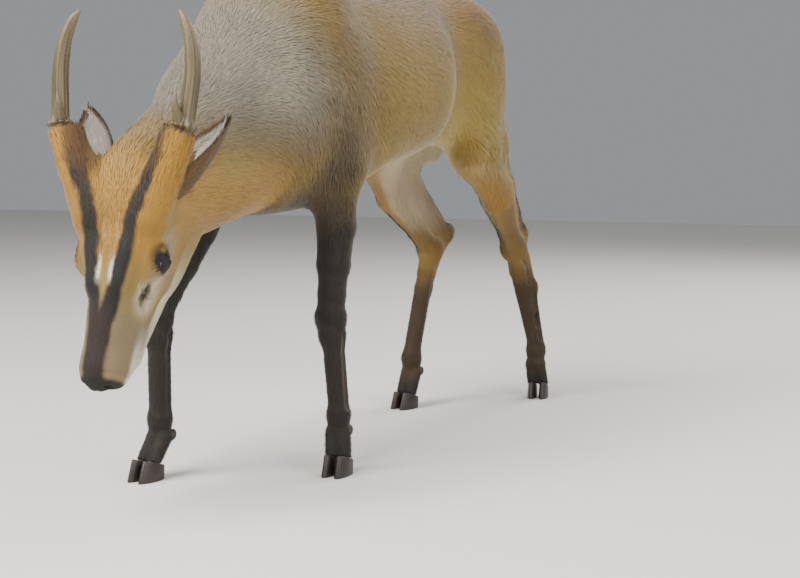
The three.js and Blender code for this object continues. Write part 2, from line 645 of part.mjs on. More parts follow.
const eyePiece = (side, grow = 0) => solidOf(new THREE.IcosahedronGeometry(EYE.radius + grow, 2),
  new THREE.Matrix4().makeTranslation(...sideways(side, EYE.centre)));

// The lids are a ring on the eyeball round an almond opening.
function lidRing() {
  const gaze = vec(EYE.gaze).normalize();
  const along = new THREE.Vector3(...EYE.slant).cross(gaze).cross(gaze).normalize();
  const up = gaze.clone().cross(along);
  const points = [];
  const steps = 14;
  for (let i = 0; i < steps; i++) {
    const t = (i / steps) * Math.PI * 2;
    const p = gaze.clone().addScaledVector(along, LID.halfLength * Math.cos(t))
      .addScaledVector(up, LID.halfHeight * Math.sin(t)).setLength(EYE.radius + LID.lift);
    points.push(p.add(vec(EYE.centre)));
  }
  return closedTube(points.map((p) => p.toArray()), LID.radius, 24, 5);
}

function closedTube(points, radius, rings, sides) {
  const curve = new THREE.CatmullRomCurve3(points.map(vec), true);
  const frames = curve.computeFrenetFrames(rings, true);
  const positions = [];
  const faces = [];
  for (let i = 0; i < rings; i++) {
    const centre = curve.getPointAt(i / rings);
    for (let j = 0; j < sides; j++) {
      const turn = (j / sides) * Math.PI * 2;
      const p = centre.clone().addScaledVector(frames.normals[i], radius * Math.cos(turn))
        .addScaledVector(frames.binormals[i], radius * Math.sin(turn));
      positions.push(p.x, p.y, p.z);
      const [a, b] = [i * sides, ((i + 1) % rings) * sides];
      const k = (j + 1) % sides;
      faces.push(a + j, a + k, b + k, a + j, b + k, b + j);
    }
  }
  return solid(positions, faces);
}

// Cuts on the left side of the face, and their mirror images on the right.
function hollow({ centre, radii, tiltDeg, turnDeg }) {
  const euler = new THREE.Euler(THREE.MathUtils.degToRad(tiltDeg), 0, THREE.MathUtils.degToRad(turnDeg));
  return solidOf(new THREE.IcosahedronGeometry(1, 1), new THREE.Matrix4().compose(
    vec(centre), new THREE.Quaternion().setFromEuler(euler), vec(radii)));
}
const nostril = () => hollow(NOSTRIL);
const glandSlit = () => hollow(GLAND);
const mouthLine = () => tube(MOUTH.path, () => MOUTH.radius, 10, 4);
const onSide = (side, made) => (side > 0 ? made : made.mirror([1, 0, 0]));

// Ears: a round root, and a leaf-shaped cup that opens outwards and forwards.
function earFrame(side) {
  const [tip, opens] = side > 0 ? [EAR.leftTip, EAR.leftOpening] : [EAR.rightTip, EAR.rightOpening];
  const root = vec(sideways(side, EAR.root));
  const axis = vec(tip).sub(root);
  const length = axis.length();
  axis.normalize();
  const opening = vec(opens);
  opening.addScaledVector(axis, -opening.dot(axis)).normalize();
  return { root, axis, length, opening, across: axis.clone().cross(opening).normalize() };
}

function earRoot(side, grow = 0) {
  const { root, axis } = earFrame(side);
  const turn = new THREE.Quaternion().setFromUnitVectors(new THREE.Vector3(0, 1, 0), axis);
  const [radius, height] = [EAR.rootRadius + grow, EAR.plug + 3 * grow];
  const centre = root.clone().addScaledVector(axis, (EAR.plug - grow) / 2);
  return solidOf(new THREE.CylinderGeometry(radius, radius, height, 14),
    new THREE.Matrix4().compose(centre, turn, new THREE.Vector3(1, 1, 1)));
}

// Half the width of the ear's leaf at a place along it.
const earHalf = (t) => EAR.width / 2 * Math.sin(Math.PI * Math.min(1, 0.16 + 0.9 * t) ** 1.05) ** 0.8
  * (1 - 0.1 * t) + (1 - t) * EAR.rootRadius * 0.55;

// One point of the cup, on its outer or its inner sheet. s runs across it from -1 to 1.
function earPoint({ root, axis, length, opening, across }, t, s, wall) {
  const cup = mix(EAR.cupRoot, EAR.cupTip, t);
  const radius = earHalf(t) / Math.sin(Math.min(cup, Math.PI / 2));
  const r = Math.max(radius - wall, EAR.leastRadius);
  const rise = radius * 0.35 - r * Math.cos(cup * s) + EAR.bow * Math.sin(Math.PI * t);
  return root.clone().addScaledVector(axis, t * length)
    .addScaledVector(across, r * Math.sin(cup * s)).addScaledVector(opening, rise);
}

function earCup(side) {
  const frame = earFrame(side);
  const [rings, slices] = [10, 8];
  const positions = [];
  const faces = [];
  for (const wall of [0, EAR.wall]) {
    for (let i = 0; i <= rings; i++) {
      for (let j = 0; j <= slices; j++) {
        const t = mix(EAR.cupStart, 1, i / rings);
        positions.push(...earPoint(frame, t, (2 * j) / slices - 1, wall).toArray());
      }
    }
  }
  const n = slices + 1;
  const inner = (rings + 1) * n;
  const quad = (a, b, c, d) => faces.push(a, b, c, a, c, d);
  for (let i = 0; i < rings; i++) {
    for (let j = 0; j < slices; j++) {
      const [a, b] = [i * n + j, (i + 1) * n + j];
      quad(a, a + 1, b + 1, b);
      quad(inner + a, inner + b, inner + b + 1, inner + a + 1);
    }
    const [a, b] = [i * n, (i + 1) * n];
    quad(a, b, inner + b, inner + a);
    quad(a + slices, inner + a + slices, inner + b + slices, b + slices);
  }
  const end = rings * n;
  for (let j = 0; j < slices; j++) {
    quad(j, inner + j, inner + j + 1, j + 1);
    quad(end + j, end + j + 1, inner + end + j + 1, inner + end + j);
  }
  const turned = faces.map((_, k) => faces[k - (k % 3) + (2 - (k % 3))]);
  const cup = solid(positions, faces);
  return cup.volume() > 0 ? cup : solid(positions, turned);
}

// The ear keeps clear of the head, the neck and the pedicle, which block it.
function earPiece(side, blockers) {
  const { axis, opening, across } = earFrame(side);
  const aside = [axis, opening, across, across.clone().negate(), opening.clone().negate()];
  const clear = (made, blocker) => aside.reduce((left, way) => left
    .subtract(blocker.translate(way.clone().multiplyScalar(2 * GAP).toArray())), made);
  const cup = largest(blockers.reduce(clear, earCup(side)));
  return largest(cup.add(clear(earRoot(side), blockers[2])));
}

// Antlers stand on the pedicles. Each beam rises, leans out and curls in at the tip.
function antlerFrame(side) {
  const up = vec(pedicleWay(side)).normalize();
  const out = new THREE.Vector3(side, 0, 0).addScaledVector(up, -side * up.x).normalize();
  const front = up.clone().cross(out).multiplyScalar(side);
  if (front.z < 0) front.negate();
  const foot = vec(sideways(side, PEDICLE.top));
  return (u, o, f) => foot.clone().addScaledVector(up, u)
    .addScaledVector(out, o).addScaledVector(front, f).toArray();
}

function beamPiece(side, grow = 0) {
  const at = antlerFrame(side);
  const path = ANTLER.path.map(([u, o, f]) => at(u, o, f));
  const taper = (t) => Math.max(0, t - 0.35) ** 1.4 / 0.55;
  const beam = (t) => mix(ANTLER.radius, ANTLER.tipRadius, taper(t));
  const radiusAt = (t) => grow + (t < ANTLER.burrEnd ? ANTLER.burrRadius : beam(t));
  return beyond(tube(path, radiusAt, 22, 10, ANTLER.ridge), at(0, 0, 0), pedicleWay(side));
}

function tinePiece(side) {
  const at = antlerFrame(side);
  const path = TINE.path.map(([u, o, f]) => at(u, o, f));
  return largest(tube(path, (t) => mix(TINE.radius, 1.3, t ** 1.3), 8, 8).subtract(beamPiece(side, GAP)));
}

function pediclePiece(side) {
  const range = side > 0 ? box(8, 96, -78, 66, -46, 52) : box(-96, -8, -78, 66, -46, 52);
  const whole = fleshOf(range, CELL.pedicle, (p) => Math.max(headAndNeck(p), pedicles[side](p) - 1.5));
  const free = beyond(whole, pedicleSeam(side), pedicleWay(side));
  return largest(short(free, sideways(side, PEDICLE.top), pedicleWay(side)));
}

function tailPiece() {
  const { root, bend, end, rootRadius, midRadius, endRadius, bendAt } = TAIL;
  const path = [along(root, bend, -0.3), root, bend, along(bend, end, 0.5), end];
  const radiusAt = (t) => (t < bendAt ? mix(rootRadius, midRadius, t / bendAt)
    : mix(midRadius, endRadius, (t - bendAt) / (1 - bendAt)));
  return beyond(tube(path, radiusAt, 14, 10), TAIL.root, tailWay);
}

// Colours of the coat and of the bare pieces.
const COAT = {
  body: 0x8a6b3c, neck: 0x8b7f72, head: 0x9a6a35, leg: 0x33261c, tail: 0x8a5326,
  horn: 0x8c7a5c, hoof: 0x15110f, eye: 0x0b0705, ear: 0xa3978c, pedicle: 0x7d4f22,
};
function material(colour, roughness) {
  return new THREE.MeshStandardMaterial({ color: colour, roughness, metalness: 0 });
}

const animal = new THREE.Group();
function addPiece(name, made, colour, roughness = 0.9) {
  const mesh = new THREE.Mesh(geometryOf(made), material(colour, roughness));
  mesh.name = name;
  animal.add(mesh);
}

for (const [name, made] of trunkPieces()) addPiece(name, made, COAT.body);
const neck = neckPiece();
const head = headPiece();
const neckByHead = neck.transform(headInverse.toArray());
addPiece('neck', neck, COAT.neck);
addPiece('head', placed(head), COAT.head);
addPiece('tail', tailPiece(), COAT.tail);
for (const [label, side] of [['left', LEFT], ['right', RIGHT]]) {
  const pedicle = pediclePiece(side);
  addPiece(`pedicle_${label}`, placed(pedicle), COAT.pedicle);
  addPiece(`antler_${label}`, placed(beamPiece(side)), COAT.horn, 0.6);
  addPiece(`tine_${label}`, placed(tinePiece(side)), COAT.horn, 0.6);
  addPiece(`ear_${label}`, placed(earPiece(side, [head, neckByHead, pedicle])), COAT.ear);
  addPiece(`eye_${label}`, placed(eyePiece(side)), COAT.eye, 0.1);
}
for (const [name, leg] of Object.entries(LEGS)) {
  for (const [part, made] of legPieces(name, leg)) {
    addPiece(part, made, /^hoof|^dewclaw/.test(part) ? COAT.hoof : COAT.leg);
  }
}

// The origin lies on the floor, under the middle of the outline.
const extent = new THREE.Box3().setFromObject(animal);
animal.position.set(-(extent.min.x + extent.max.x) / 2, -(extent.min.y + extent.max.y) / 2, 0);

export default animal;
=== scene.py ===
"""Builds the looks of a red muntjac stag over its solid model: one skin with its coat of
hair, wet eyes, ridged antlers on hairy pedicles, cupped ears and cloven hooves."""
import math

import bpy
import numpy as np
from bpy.props import FloatProperty, IntProperty, PointerProperty
from mathutils import Matrix, Vector
from mathutils.bvhtree import BVHTree


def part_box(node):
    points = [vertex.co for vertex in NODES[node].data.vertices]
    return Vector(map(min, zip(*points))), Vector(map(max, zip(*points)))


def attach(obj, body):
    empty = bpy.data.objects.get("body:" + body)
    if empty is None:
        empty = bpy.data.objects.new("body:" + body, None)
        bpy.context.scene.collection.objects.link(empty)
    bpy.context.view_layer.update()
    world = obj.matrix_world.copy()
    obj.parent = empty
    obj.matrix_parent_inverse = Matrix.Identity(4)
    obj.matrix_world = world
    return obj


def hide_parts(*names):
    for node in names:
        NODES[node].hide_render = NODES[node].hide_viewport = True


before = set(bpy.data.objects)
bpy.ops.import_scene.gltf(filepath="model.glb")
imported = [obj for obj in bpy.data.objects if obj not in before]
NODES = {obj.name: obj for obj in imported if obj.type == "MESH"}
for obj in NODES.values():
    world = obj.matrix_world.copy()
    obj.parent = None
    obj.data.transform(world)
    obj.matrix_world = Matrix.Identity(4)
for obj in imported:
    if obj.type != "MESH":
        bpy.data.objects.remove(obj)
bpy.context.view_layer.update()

bl_info = {
    "name": "Muntjac Stag",
    "version": (1, 0, 0),
    "blender": (4, 5, 0),
    "location": "View3D > Sidebar > Muntjac",
    "description": "Skin, coat, eyes, antlers, ears and hooves of a red muntjac stag",
    "category": "Add Mesh",
}

SIDES = (("left", 1.0), ("right", -1.0))
SEED = 20251

# The body's own measures, in millimetres, as in the solid model
TRUNK_Y = (-104, -70, -10, 70, 150, 230, 300, 375, 434, 468)
TRUNK_TOP = (405, 478, 534, 541, 541, 547, 558, 562, 536, 492)
TRUNK_BOTTOM = (335, 304, 292, 294, 320, 335, 347, 372, 400, 424)
TRUNK_HALF = (34, 62, 78, 91, 98, 95, 70, 62, 50, 22)
POLL = np.array((-7.5, -271.0, 341.0))
HEAD_TURN = (71.0, 1.5, 9.0)
PEDICLE_BASE, PEDICLE_TOP = np.array((28.0, -56.0, -10.0)), np.array((59.0, 24.0, 14.0))
PEDICLE_AXIS = PEDICLE_TOP - PEDICLE_BASE
PEDICLE_RADII = (19.0, 17.5)
EYE_CENTRE, EYE_RADIUS = np.array((34.0, -88.5, -27.0)), 12.2
EYE_GAZE, EYE_SLANT = (0.9, -0.34, 0.28), (0.1, 0.5, 1.0)
EAR_ROOT, EAR_WIDTH, EAR_ROOT_RADIUS = np.array((38.0, -22.0, -26.0)), 42.0, 12.5
EAR_TIPS = {1.0: (83, 66, -42), -1.0: (-70, 69, -34)}
EAR_OPENINGS = {1.0: (-0.4, 0.35, 0.8), -1.0: (-0.1, -0.2, 0.97)}
EAR_START = -0.02
TAIL = ((0, 444, 520), (0, 502, 488), (0, 516, 368))
LEGS = {
    "foreleg_left": dict(
        side=1, fore=True, toe=4, sole=(70, -14), fetlock=(61, 7, 49), knee=(57, -3, 173),
        elbow=(60, 10, 314), shoulder=(60, -66, 392)),
    "foreleg_right": dict(
        side=-1, fore=True, toe=6, sole=(-99, -128), fetlock=(-96, -105, 50), knee=(-89, -116, 178),
        elbow=(-70, -34, 308), shoulder=(-62, -100, 392)),
    "hindleg_left": dict(
        side=1, fore=False, toe=14, sole=(78, 556), fetlock=(71, 566, 54), hock=(56, 514, 219),
        heel=(49, 551, 240), stifle=(77, 356, 350), hip=(50, 384, 474)),
    "hindleg_right": dict(
        side=-1, fore=False, toe=12, sole=(-53, 390), fetlock=(-54, 415, 53), hock=(-47, 458, 218),
        heel=(-41, 498, 240), stifle=(-72, 308, 352), hip=(-50, 384, 470)),
}
HOOF_WIDTH, HOOF_SPREAD, HOOF_HEIGHT = 13.5, 1.2, 21.0
FLESH = ["chest", "hindquarters", "neck", "head", "tail", "pedicle_left", "pedicle_right"] + [
    f"{leg}_{part}" for leg in LEGS for part in ("upper", "lower")]


def unit(v):
    return v / np.maximum(np.linalg.norm(v, axis=-1, keepdims=True), 1e-9)


def head_matrix():
    x, y, z = (math.radians(a) for a in HEAD_TURN)
    return np.array(Matrix.Rotation(z, 3, "Z") @ Matrix.Rotation(y, 3, "Y") @ Matrix.Rotation(x, 3, "X"))


HEAD = head_matrix()


def from_head(p):
    return np.asarray(p, float) @ HEAD.T + POLL


def to_head(p):
    return (np.asarray(p, float) - POLL) @ HEAD


def model_shift():
    """Where the body's own origin lies in the row frame, in millimetres, read off the left eye."""
    low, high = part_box("eye_left")
    middle = (np.array(low) + np.array(high)) * 500
    return middle - from_head(EYE_CENTRE)


SHIFT = model_shift()


def to_row(p):
    return (np.asarray(p, float) + SHIFT) / 1000


def from_row(p):
    return np.asarray(p, float) * 1000 - SHIFT


# Smooth distance fields, in millimetres and negative inside
def smin(a, b, blend):
    h = np.maximum(blend - np.abs(a - b), 0) / blend
    return np.minimum(a, b) - h * h * blend / 4


def carve(d, cutter, blend):
    """A field with the form of another one cut into it."""
    return -smin(-d, cutter, blend)


def blend_all(parts, blend):
    total = parts[0]
    for part in parts[1:]:
        total = smin(total, part, blend)
    return total


def bar(p, a, b, ra, rb, squash=1.0):
    x, y, z = (p[:, 0] - a[0]) / squash, p[:, 1] - a[1], p[:, 2] - a[2]
    dx, dy, dz = (b[0] - a[0]) / squash, b[1] - a[1], b[2] - a[2]
    t = np.clip((x * dx + y * dy + z * dz) / (dx * dx + dy * dy + dz * dz), 0, 1)
    x, y, z = x - t * dx, y - t * dy, z - t * dz
    return (np.sqrt(x * x + y * y + z * z) - (ra + (rb - ra) * t)) * min(1, squash)


def egg(p, c, r, tilt=0.0):
    cos, sin = math.cos(math.radians(tilt)), math.sin(math.radians(tilt))
    x, y, z = p[:, 0] - c[0], p[:, 1] - c[1], p[:, 2] - c[2]
    x, y, z = x / r[0], (cos * y + sin * z) / r[1], (cos * z - sin * y) / r[2]
    k0 = np.sqrt(x * x + y * y + z * z)
    k1 = np.sqrt((x / r[0]) ** 2 + (y / r[1]) ** 2 + (z / r[2]) ** 2)
    return k0 * (k0 - 1) / np.maximum(k1, 1e-9)


def forms(p, table, blend):
    """The blended field of a table of eggs and bars."""
    return blend_all([shape(p, *rest) for shape, *rest in table], blend)


def mirrored(p):
    return np.stack((np.abs(p[:, 0]), p[:, 1], p[:, 2]), 1)


def off(point, x, y, z):
    return point[0] + x, point[1] + y, point[2] + z


def along(a, b, t):
    return tuple(np.array(a, float) * (1 - t) + np.array(b, float) * t)


def station_table():
    """The trunk's outline between its stations, drawn with a smooth curve."""
    ys = np.array(TRUNK_Y, float)
    fine = np.linspace(ys[0], ys[-1], 400)
    i = np.clip(np.searchsorted(ys, fine, side="left") - 1, 0, len(ys) - 2)
    at = lambda v, k: v[np.clip(k, 0, len(ys) - 1)]
    width = at(ys, i + 1) - at(ys, i)
    t = (fine - at(ys, i)) / width
    out = []
    for field in (TRUNK_TOP, TRUNK_BOTTOM, TRUNK_HALF):
        v = np.array(field, float)
        m1 = (at(v, i + 1) - at(v, i - 1)) / (at(ys, i + 1) - at(ys, i - 1)) * width
        m2 = (at(v, i + 2) - at(v, i)) / (at(ys, i + 2) - at(ys, i)) * width
        out.append((2 * t**3 - 3 * t**2 + 1) * at(v, i) + (t**3 - 2 * t**2 + t) * m1
                   + (3 * t**2 - 2 * t**3) * at(v, i + 1) + (t**3 - t**2) * m2)
    return fine, out


STATIONS = station_table()


def trunk_field(p):
    fine, (tops, bottoms, halves) = STATIONS
    y = np.clip(p[:, 1], fine[0], fine[-1])
    top, bottom, half = (np.interp(y, fine, v) for v in (tops, bottoms, halves))
    high = (top - bottom) / 2
    z = p[:, 2] - (top + bottom) / 2
    waist = half * (1 - 0.10 * np.clip(z / high, -1.5, 1.5))
    ring = (np.hypot(p[:, 0] / waist, z / high) - 1) * np.minimum(half, high)
    return np.hypot(np.maximum(ring, 0), p[:, 1] - y) + np.minimum(ring, 0)


NECK = (
    (bar, (0, -14, 452), (-12, -222, 322), 80, 42, 0.8),
    (bar, (0, -44, 372), (-12, -222, 296), 80, 42, 0.86))


def neck_field(p):
    return forms(p, NECK, 60)


def shoulder_field(p, leg):
    side, elbow, y, z = leg["side"], leg["elbow"], *leg["shoulder"][1:]
    foot = (side * 56, elbow[1], elbow[2] + 22)
    return blend_all([
        bar(p, (side * 38, y + 62, 505), (side * 54, y + 8, z), 34, 40, 0.75),
        bar(p, (side * 56, y + 6, z), off(foot, 0, -4, 0), 40, 34, 0.8),
        bar(p, (side * 50, y + 70, 440), off(foot, 0, 8, 0), 40, 24, 0.8)], 30)


def claw_place(leg, way):
    turn = math.radians(leg["toe"]) * leg["side"]
    toe = np.array((math.sin(turn), -math.cos(turn)))
    out = np.array((math.cos(turn), math.sin(turn)))
    return np.array(leg["sole"]) + out * way * (HOOF_WIDTH / 2 + HOOF_SPREAD), toe, out


def pastern_field(p, leg):
    f = leg["fetlock"]
    parts = [bar(p, off(f, 0, -2, 10), off(f, 0, 0, -3), 12.4, 13.2)]
    for way in (1, -1):
        spot, toe, out = claw_place(leg, way)
        parts.append(bar(p, off(f, out[0] * way * 6, -2, -6), (*(spot - toe * 4), HOOF_HEIGHT - 3), 9.6, 8.2))
    return blend_all(parts, 5)


CHAIN_BLEND = 4  # between bones that follow one another


def foreleg_field(p, leg):
    side, elbow, knee, fet = leg["side"], leg["elbow"], leg["knee"], leg["fetlock"]
    low, muscle = along(knee, fet, 0.16), along(elbow, knee, 0.3)
    m6, m8 = along(elbow, knee, 0.6), along(elbow, knee, 0.82)
    bones = blend_all([
        bar(p, (side * 56, elbow[1] - 6, elbow[2] + 18), muscle, 28, 22),
        bar(p, muscle, m6, 22, 18.5), bar(p, m6, m8, 18.5, 15.5), bar(p, m8, knee, 15.5, 16.4),
        bar(p, knee, low, 16.2, 14.2)], CHAIN_BLEND)
    return blend_all([
        bones,
        bar(p, off(elbow, -side * 4, 12, 16), off(elbow, 0, 6, -22), 12, 12),
        bar(p, off(low, 0, -1, 0), off(fet, 0, -3, 22), 11.6, 10.6),
        bar(p, off(low, 0, 7, 0), off(fet, 0, 6, 14), 8.2, 8.6),
        pastern_field(p, leg)], 12)


def haunch_field(p, leg):
    side, stifle, y, z = leg["side"], leg["stifle"], *leg["hip"][1:]
    return blend_all([
        egg(p, (side * 42, y + 2, z - 26), (42, 72, 92), 12),
        bar(p, (side * 44, y + 2, z + 10), off(stifle, -side * 18, 8, 8), 48, 42, 0.74),
        bar(p, (side * 29, y + 52, z - 10), (side * 40, y + 40, z - 104), 29, 33, 0.85)], 36)


def hindleg_field(p, leg):
    side, stifle, hock, heel, fet = (leg[k] for k in ("side", "stifle", "hock", "heel", "fetlock"))
    calf, above, low = along(stifle, hock, 0.42), along(stifle, hock, 0.8), along(hock, fet, 0.2)
    cord = off(calf, (heel[0] - calf[0]) * 0.4, 34, 14)
    shank = along(hock, fet, 0.35)
    back = (fet[0], shank[1] + 9, shank[2])
    bones = blend_all([
        bar(p, off(stifle, -side * 13, 13, 2), calf, 40, 27, 0.74),
        bar(p, calf, above, 26, 15.5, 0.9), bar(p, above, hock, 14.5, 16),
        bar(p, hock, low, 15.2, 12.6), bar(p, low, off(fet, 0, -3, 20), 12.4, 10.8)], CHAIN_BLEND)
    return blend_all([
        bones,
        bar(p, off(stifle, -side * 18, 62, 4), cord, 36, 21, 0.8),
        bar(p, cord, along(hock, heel, 0.9), 18, 8.5),
        bar(p, along(calf, cord, 0.5), along(above, heel, 0.5), 17, 8),
        bar(p, hock, heel, 13.5, 9), bar(p, heel, back, 8.5, 8.4),
        bar(p, back, off(fet, 0, 6, 14), 8.4, 8.6),
        pastern_field(p, leg)], 13)


# The head's forms in its own frame: brows, cheeks, jaws, nose and eye ridges, lips
HEAD_SIDES = (
    (egg, (31, -87, -25), (15, 22, 16)), (egg, (22, -72, -60), (19, 40, 36)),
    (bar, (19, -58, -86), (7, -172, -61), 16, 10), (bar, (22, -104, -48), (12.5, -172, -37), 15, 11),
    (bar, (27, -44, -3), (13, -120, -8), 10.5, 7), (egg, (12.5, -192, -34), (9.5, 16, 13)))
# Skull, forehead, face, bridge, nose, chin and throat
HEAD_MIDDLE = (
    (egg, (0, -38, -32), (41, 54, 34)), (egg, (0, -68, -20), (33, 42, 21)),
    (bar, (0, -96, -33), (0, -176, -30), 30, 21), (bar, (0, -88, -16), (0, -190, -20), 15, 11.5),
    (egg, (0, -196, -24), (17.5, 16, 16)), (egg, (0, -178, -60), (13.5, 21, 11)),
    (bar, (0, -18, -58), (0, 4, -64), 38, 42, 0.85))


def head_field(h):
    return smin(forms(mirrored(h), HEAD_SIDES, 12), forms(h, HEAD_MIDDLE, 14), 12)


def pedicle_field(h):
    return bar(mirrored(h), PEDICLE_BASE, PEDICLE_TOP, *PEDICLE_RADII)


def tail_field(p):
    root, bend, end = TAIL
    return blend_all([bar(p, along(root, bend, -0.3), bend, 19, 19), bar(p, bend, end, 20, 8)], 8)


FAR = 150.0  # a field's value well away from its part
HEAD_BOX = (-90, -250, -150), (90, 75, 60)  # in the head's frame
PEDICLE_BOX = (-90, 2, -60), (90, 75, 60)
BLADE_BOX = (-160, -140, 380), (160, 60, 520)
# How far each part flows into what comes before it
BODY_BLENDS = {"neck": 46, "shoulders": 30, "haunches": 34, "head": 26, "legs": 16, "tail": 6}


def inside(p, low, high):
    return ((p > low) & (p < high)).all(1)


def local(p, near, field):
    """A field worked out only at the chosen points, and a long way off elsewhere."""
    out = np.full(len(p), FAR)
    if near.any():
        out[near] = field(p[near])
    return out


def changed(d, near, change):
    """A field with its values at the chosen points made anew from the old ones."""
    if near.any():
        d = d.copy()
        d[near] = change(d[near])
    return d


def leg_box(p, leg, room=75):
    """Whether points lie near a leg, from its floor to its elbow or stifle."""
    bones = [leg[k] for k in ("fetlock", "knee", "elbow", "hock", "heel", "stifle") if k in leg]
    xs, ys = zip(leg["sole"], *(b[:2] for b in bones))
    low = min(xs) - room, min(ys) - room, -20
    return inside(p, low, (max(xs) + room, max(ys) + room, bones[-1][2] + 85))


def groups(p):
    """The field of each part of the body."""
    h, (_, y, z) = to_head(p), p.T

    def pair(near, field, limb, blend):
        left, right = LEGS[limb + "_left"], LEGS[limb + "_right"]
        return local(p, near, lambda q: smin(field(q, left), field(q, right), blend))

    leg_field = lambda q, leg: (foreleg_field if leg["fore"] else hindleg_field)(q, leg)
    legs = [local(p, leg_box(p, leg), lambda q, leg=leg: leg_field(q, leg)) for leg in LEGS.values()]
    return dict(
        h=h, legs=legs, trunk=trunk_field(p), neck=local(p, (y < 150) & (z > 220), neck_field),
        shoulders=pair((y < 120) & (z > 260), shoulder_field, "foreleg", 20),
        haunches=pair((y > 230) & (z > 230), haunch_field, "hindleg", 24),
        head=local(h, inside(h, *HEAD_BOX), lambda q: smin(head_field(q), pedicle_field(q), 11)),
        tail=local(p, (y > 400) & (z > 330), tail_field))


def body_field(g):
    d = g["trunk"]
    for part, blend in BODY_BLENDS.items():
        for field in g[part] if part == "legs" else [g[part]]:
            d = smin(d, field, blend)
    return d


# Finer forms of the skin
def lid_frame():
    gaze = Vector(EYE_GAZE).normalized()
    axis = Vector(EYE_SLANT).cross(gaze).cross(gaze).normalized()
    return np.array(gaze), np.array(axis), np.array(gaze.cross(axis))


# Fine forms of one side of the face: whether they are cut in, how far they blend with the face and
# with each other, and their eggs and bars
FACE_FORMS = (
    # the rims of the gland under the eye, its slit, and the fold between the brows
    (False, 5, 1, (
        (egg, (29.5, -121, -22.5), (2.4, 12, 2.4), 20), (egg, (28.5, -123, -31.5), (2.4, 12, 2.4), 20))),
    (True, 2.5, 1, ((egg, (28.5, -122, -27), (3.6, 12, 1.7), 20),)),
    (True, 2, 1, ((egg, (6.6, -86, 3.2), (1.3, 26, 3.4), -4),)),
    # the wing of the nose, the nostril and the groove under it
    (False, 5, 1, ((bar, (2, -207, -22), (9, -203, -20), 7.5, 6.5),)),
    (True, 2, 2, (
        (egg, (10.5, -209.5, -22), (2.6, 4.8, 3.0), 30), (bar, (12, -207, -26), (14, -200, -27), 1.6, 1.0))),
    (True, 2, 1, ((bar, (0, -216, -22), (0, -213, -40), 1.1, 1.2),)),
    # the upper lip and the mouth
    (False, 5, 1, ((bar, (13, -196, -43), (18, -168, -46), 4.5, 3.0),)),
    (True, 2.5, 1, (
        (bar, (0, -214, -46), (11, -205, -48), 1.3, 1.3), (bar, (11, -205, -48), (17, -182, -51), 1.3, 1.3),
        (bar, (17, -182, -51), (20, -150, -52), 1.3, 1.0))))
LID_WIDTH, LID_HEIGHT = 0.80, 0.56  # of the opening, as shares of the eye's radius
LID_GAP, LID_THICKNESS = 1.3, 1.5


def face_details(h, d):
    """Eye sockets with their lids, nostrils, the mouth, the lips and the glands of the face."""
    m = mirrored(h)
    gaze, axis, up = lid_frame()
    q = m - EYE_CENTRE
    r = np.linalg.norm(q, axis=1)
    n = q / np.maximum(r, 1e-6)[:, None]
    almond = np.hypot((n @ axis) / LID_WIDTH, (n @ up) / LID_HEIGHT) - 1
    brow = EYE_CENTRE + gaze * 9 + up * 9.5
    d = smin(d, bar(m, brow - axis * 9, brow + axis * 7, 3.4, 2.6), 6)
    # the lids hug the ball and roll in at their edge
    lid = np.abs(r - (EYE_RADIUS + LID_GAP)) - LID_THICKNESS
    lid = np.maximum(np.maximum(lid, -almond * 12 - 0.2), (almond - 0.85) * 12)
    d = smin(d, np.where((n @ gaze > 0) & (r < 26), lid, 50), 4.5)
    d = np.maximum(d, np.minimum(EYE_RADIUS + 0.25 - r, q @ gaze - 4))
    for cut, blend, within, table in FACE_FORMS:
        form = forms(m, table, within)
        d = carve(d, form, blend) if cut else smin(d, form, blend)
    return d


def leg_details(p, d):
    """Tendons and joints of the legs, and the edge of the shoulder blade."""
    for leg in LEGS.values():
        near = leg_box(p, leg)
        if leg["fore"]:
            near = near | inside(p, *BLADE_BOX)
        d = changed(d, near, lambda old: one_leg_details(p[near], old, leg))
    return d


def one_leg_details(p, d, leg):
    side, fet = leg["side"], leg["fetlock"]
    joint, high = (leg["knee"], leg["elbow"]) if leg["fore"] else (leg["hock"], leg["stifle"])
    a, b = along(joint, fet, 0.12), along(joint, fet, 0.8)
    for way in (1, -1):
        d = carve(d, bar(p, off(a, way * 13, 4, 0), off(b, way * 11.8, 3, 0), 1.0, 0.8), 7)
        d = smin(d, egg(p, off(joint, way * 12.5, 0, -4), (4.5, 8, 11)), 7)
    if not leg["fore"]:
        return smin(d, egg(p, off(high, -side * 2, -24, 2), (16, 12, 20)), 14)
    vein = bar(p, off(along(high, joint, 0.12), side * 20, -8, 0),
               off(along(high, joint, 0.75), side * 9, -4, 0), 3, 2)
    y = leg["shoulder"][1]
    blade = bar(p, (side * 60, y + 52, 486), (side * 80, y + 12, 408), 5, 7)
    return smin(smin(d, vein, 9), blade, 26)


# How far the skin lies under the tips of the coat, and what that loses on head, face and legs
BODY_DEPTH, HEAD_LOSS, FACE_LOSS, LEG_LOSS, PEDICLE_GAIN = 3.6, 1.6, 1.4, 2.2, 0.9


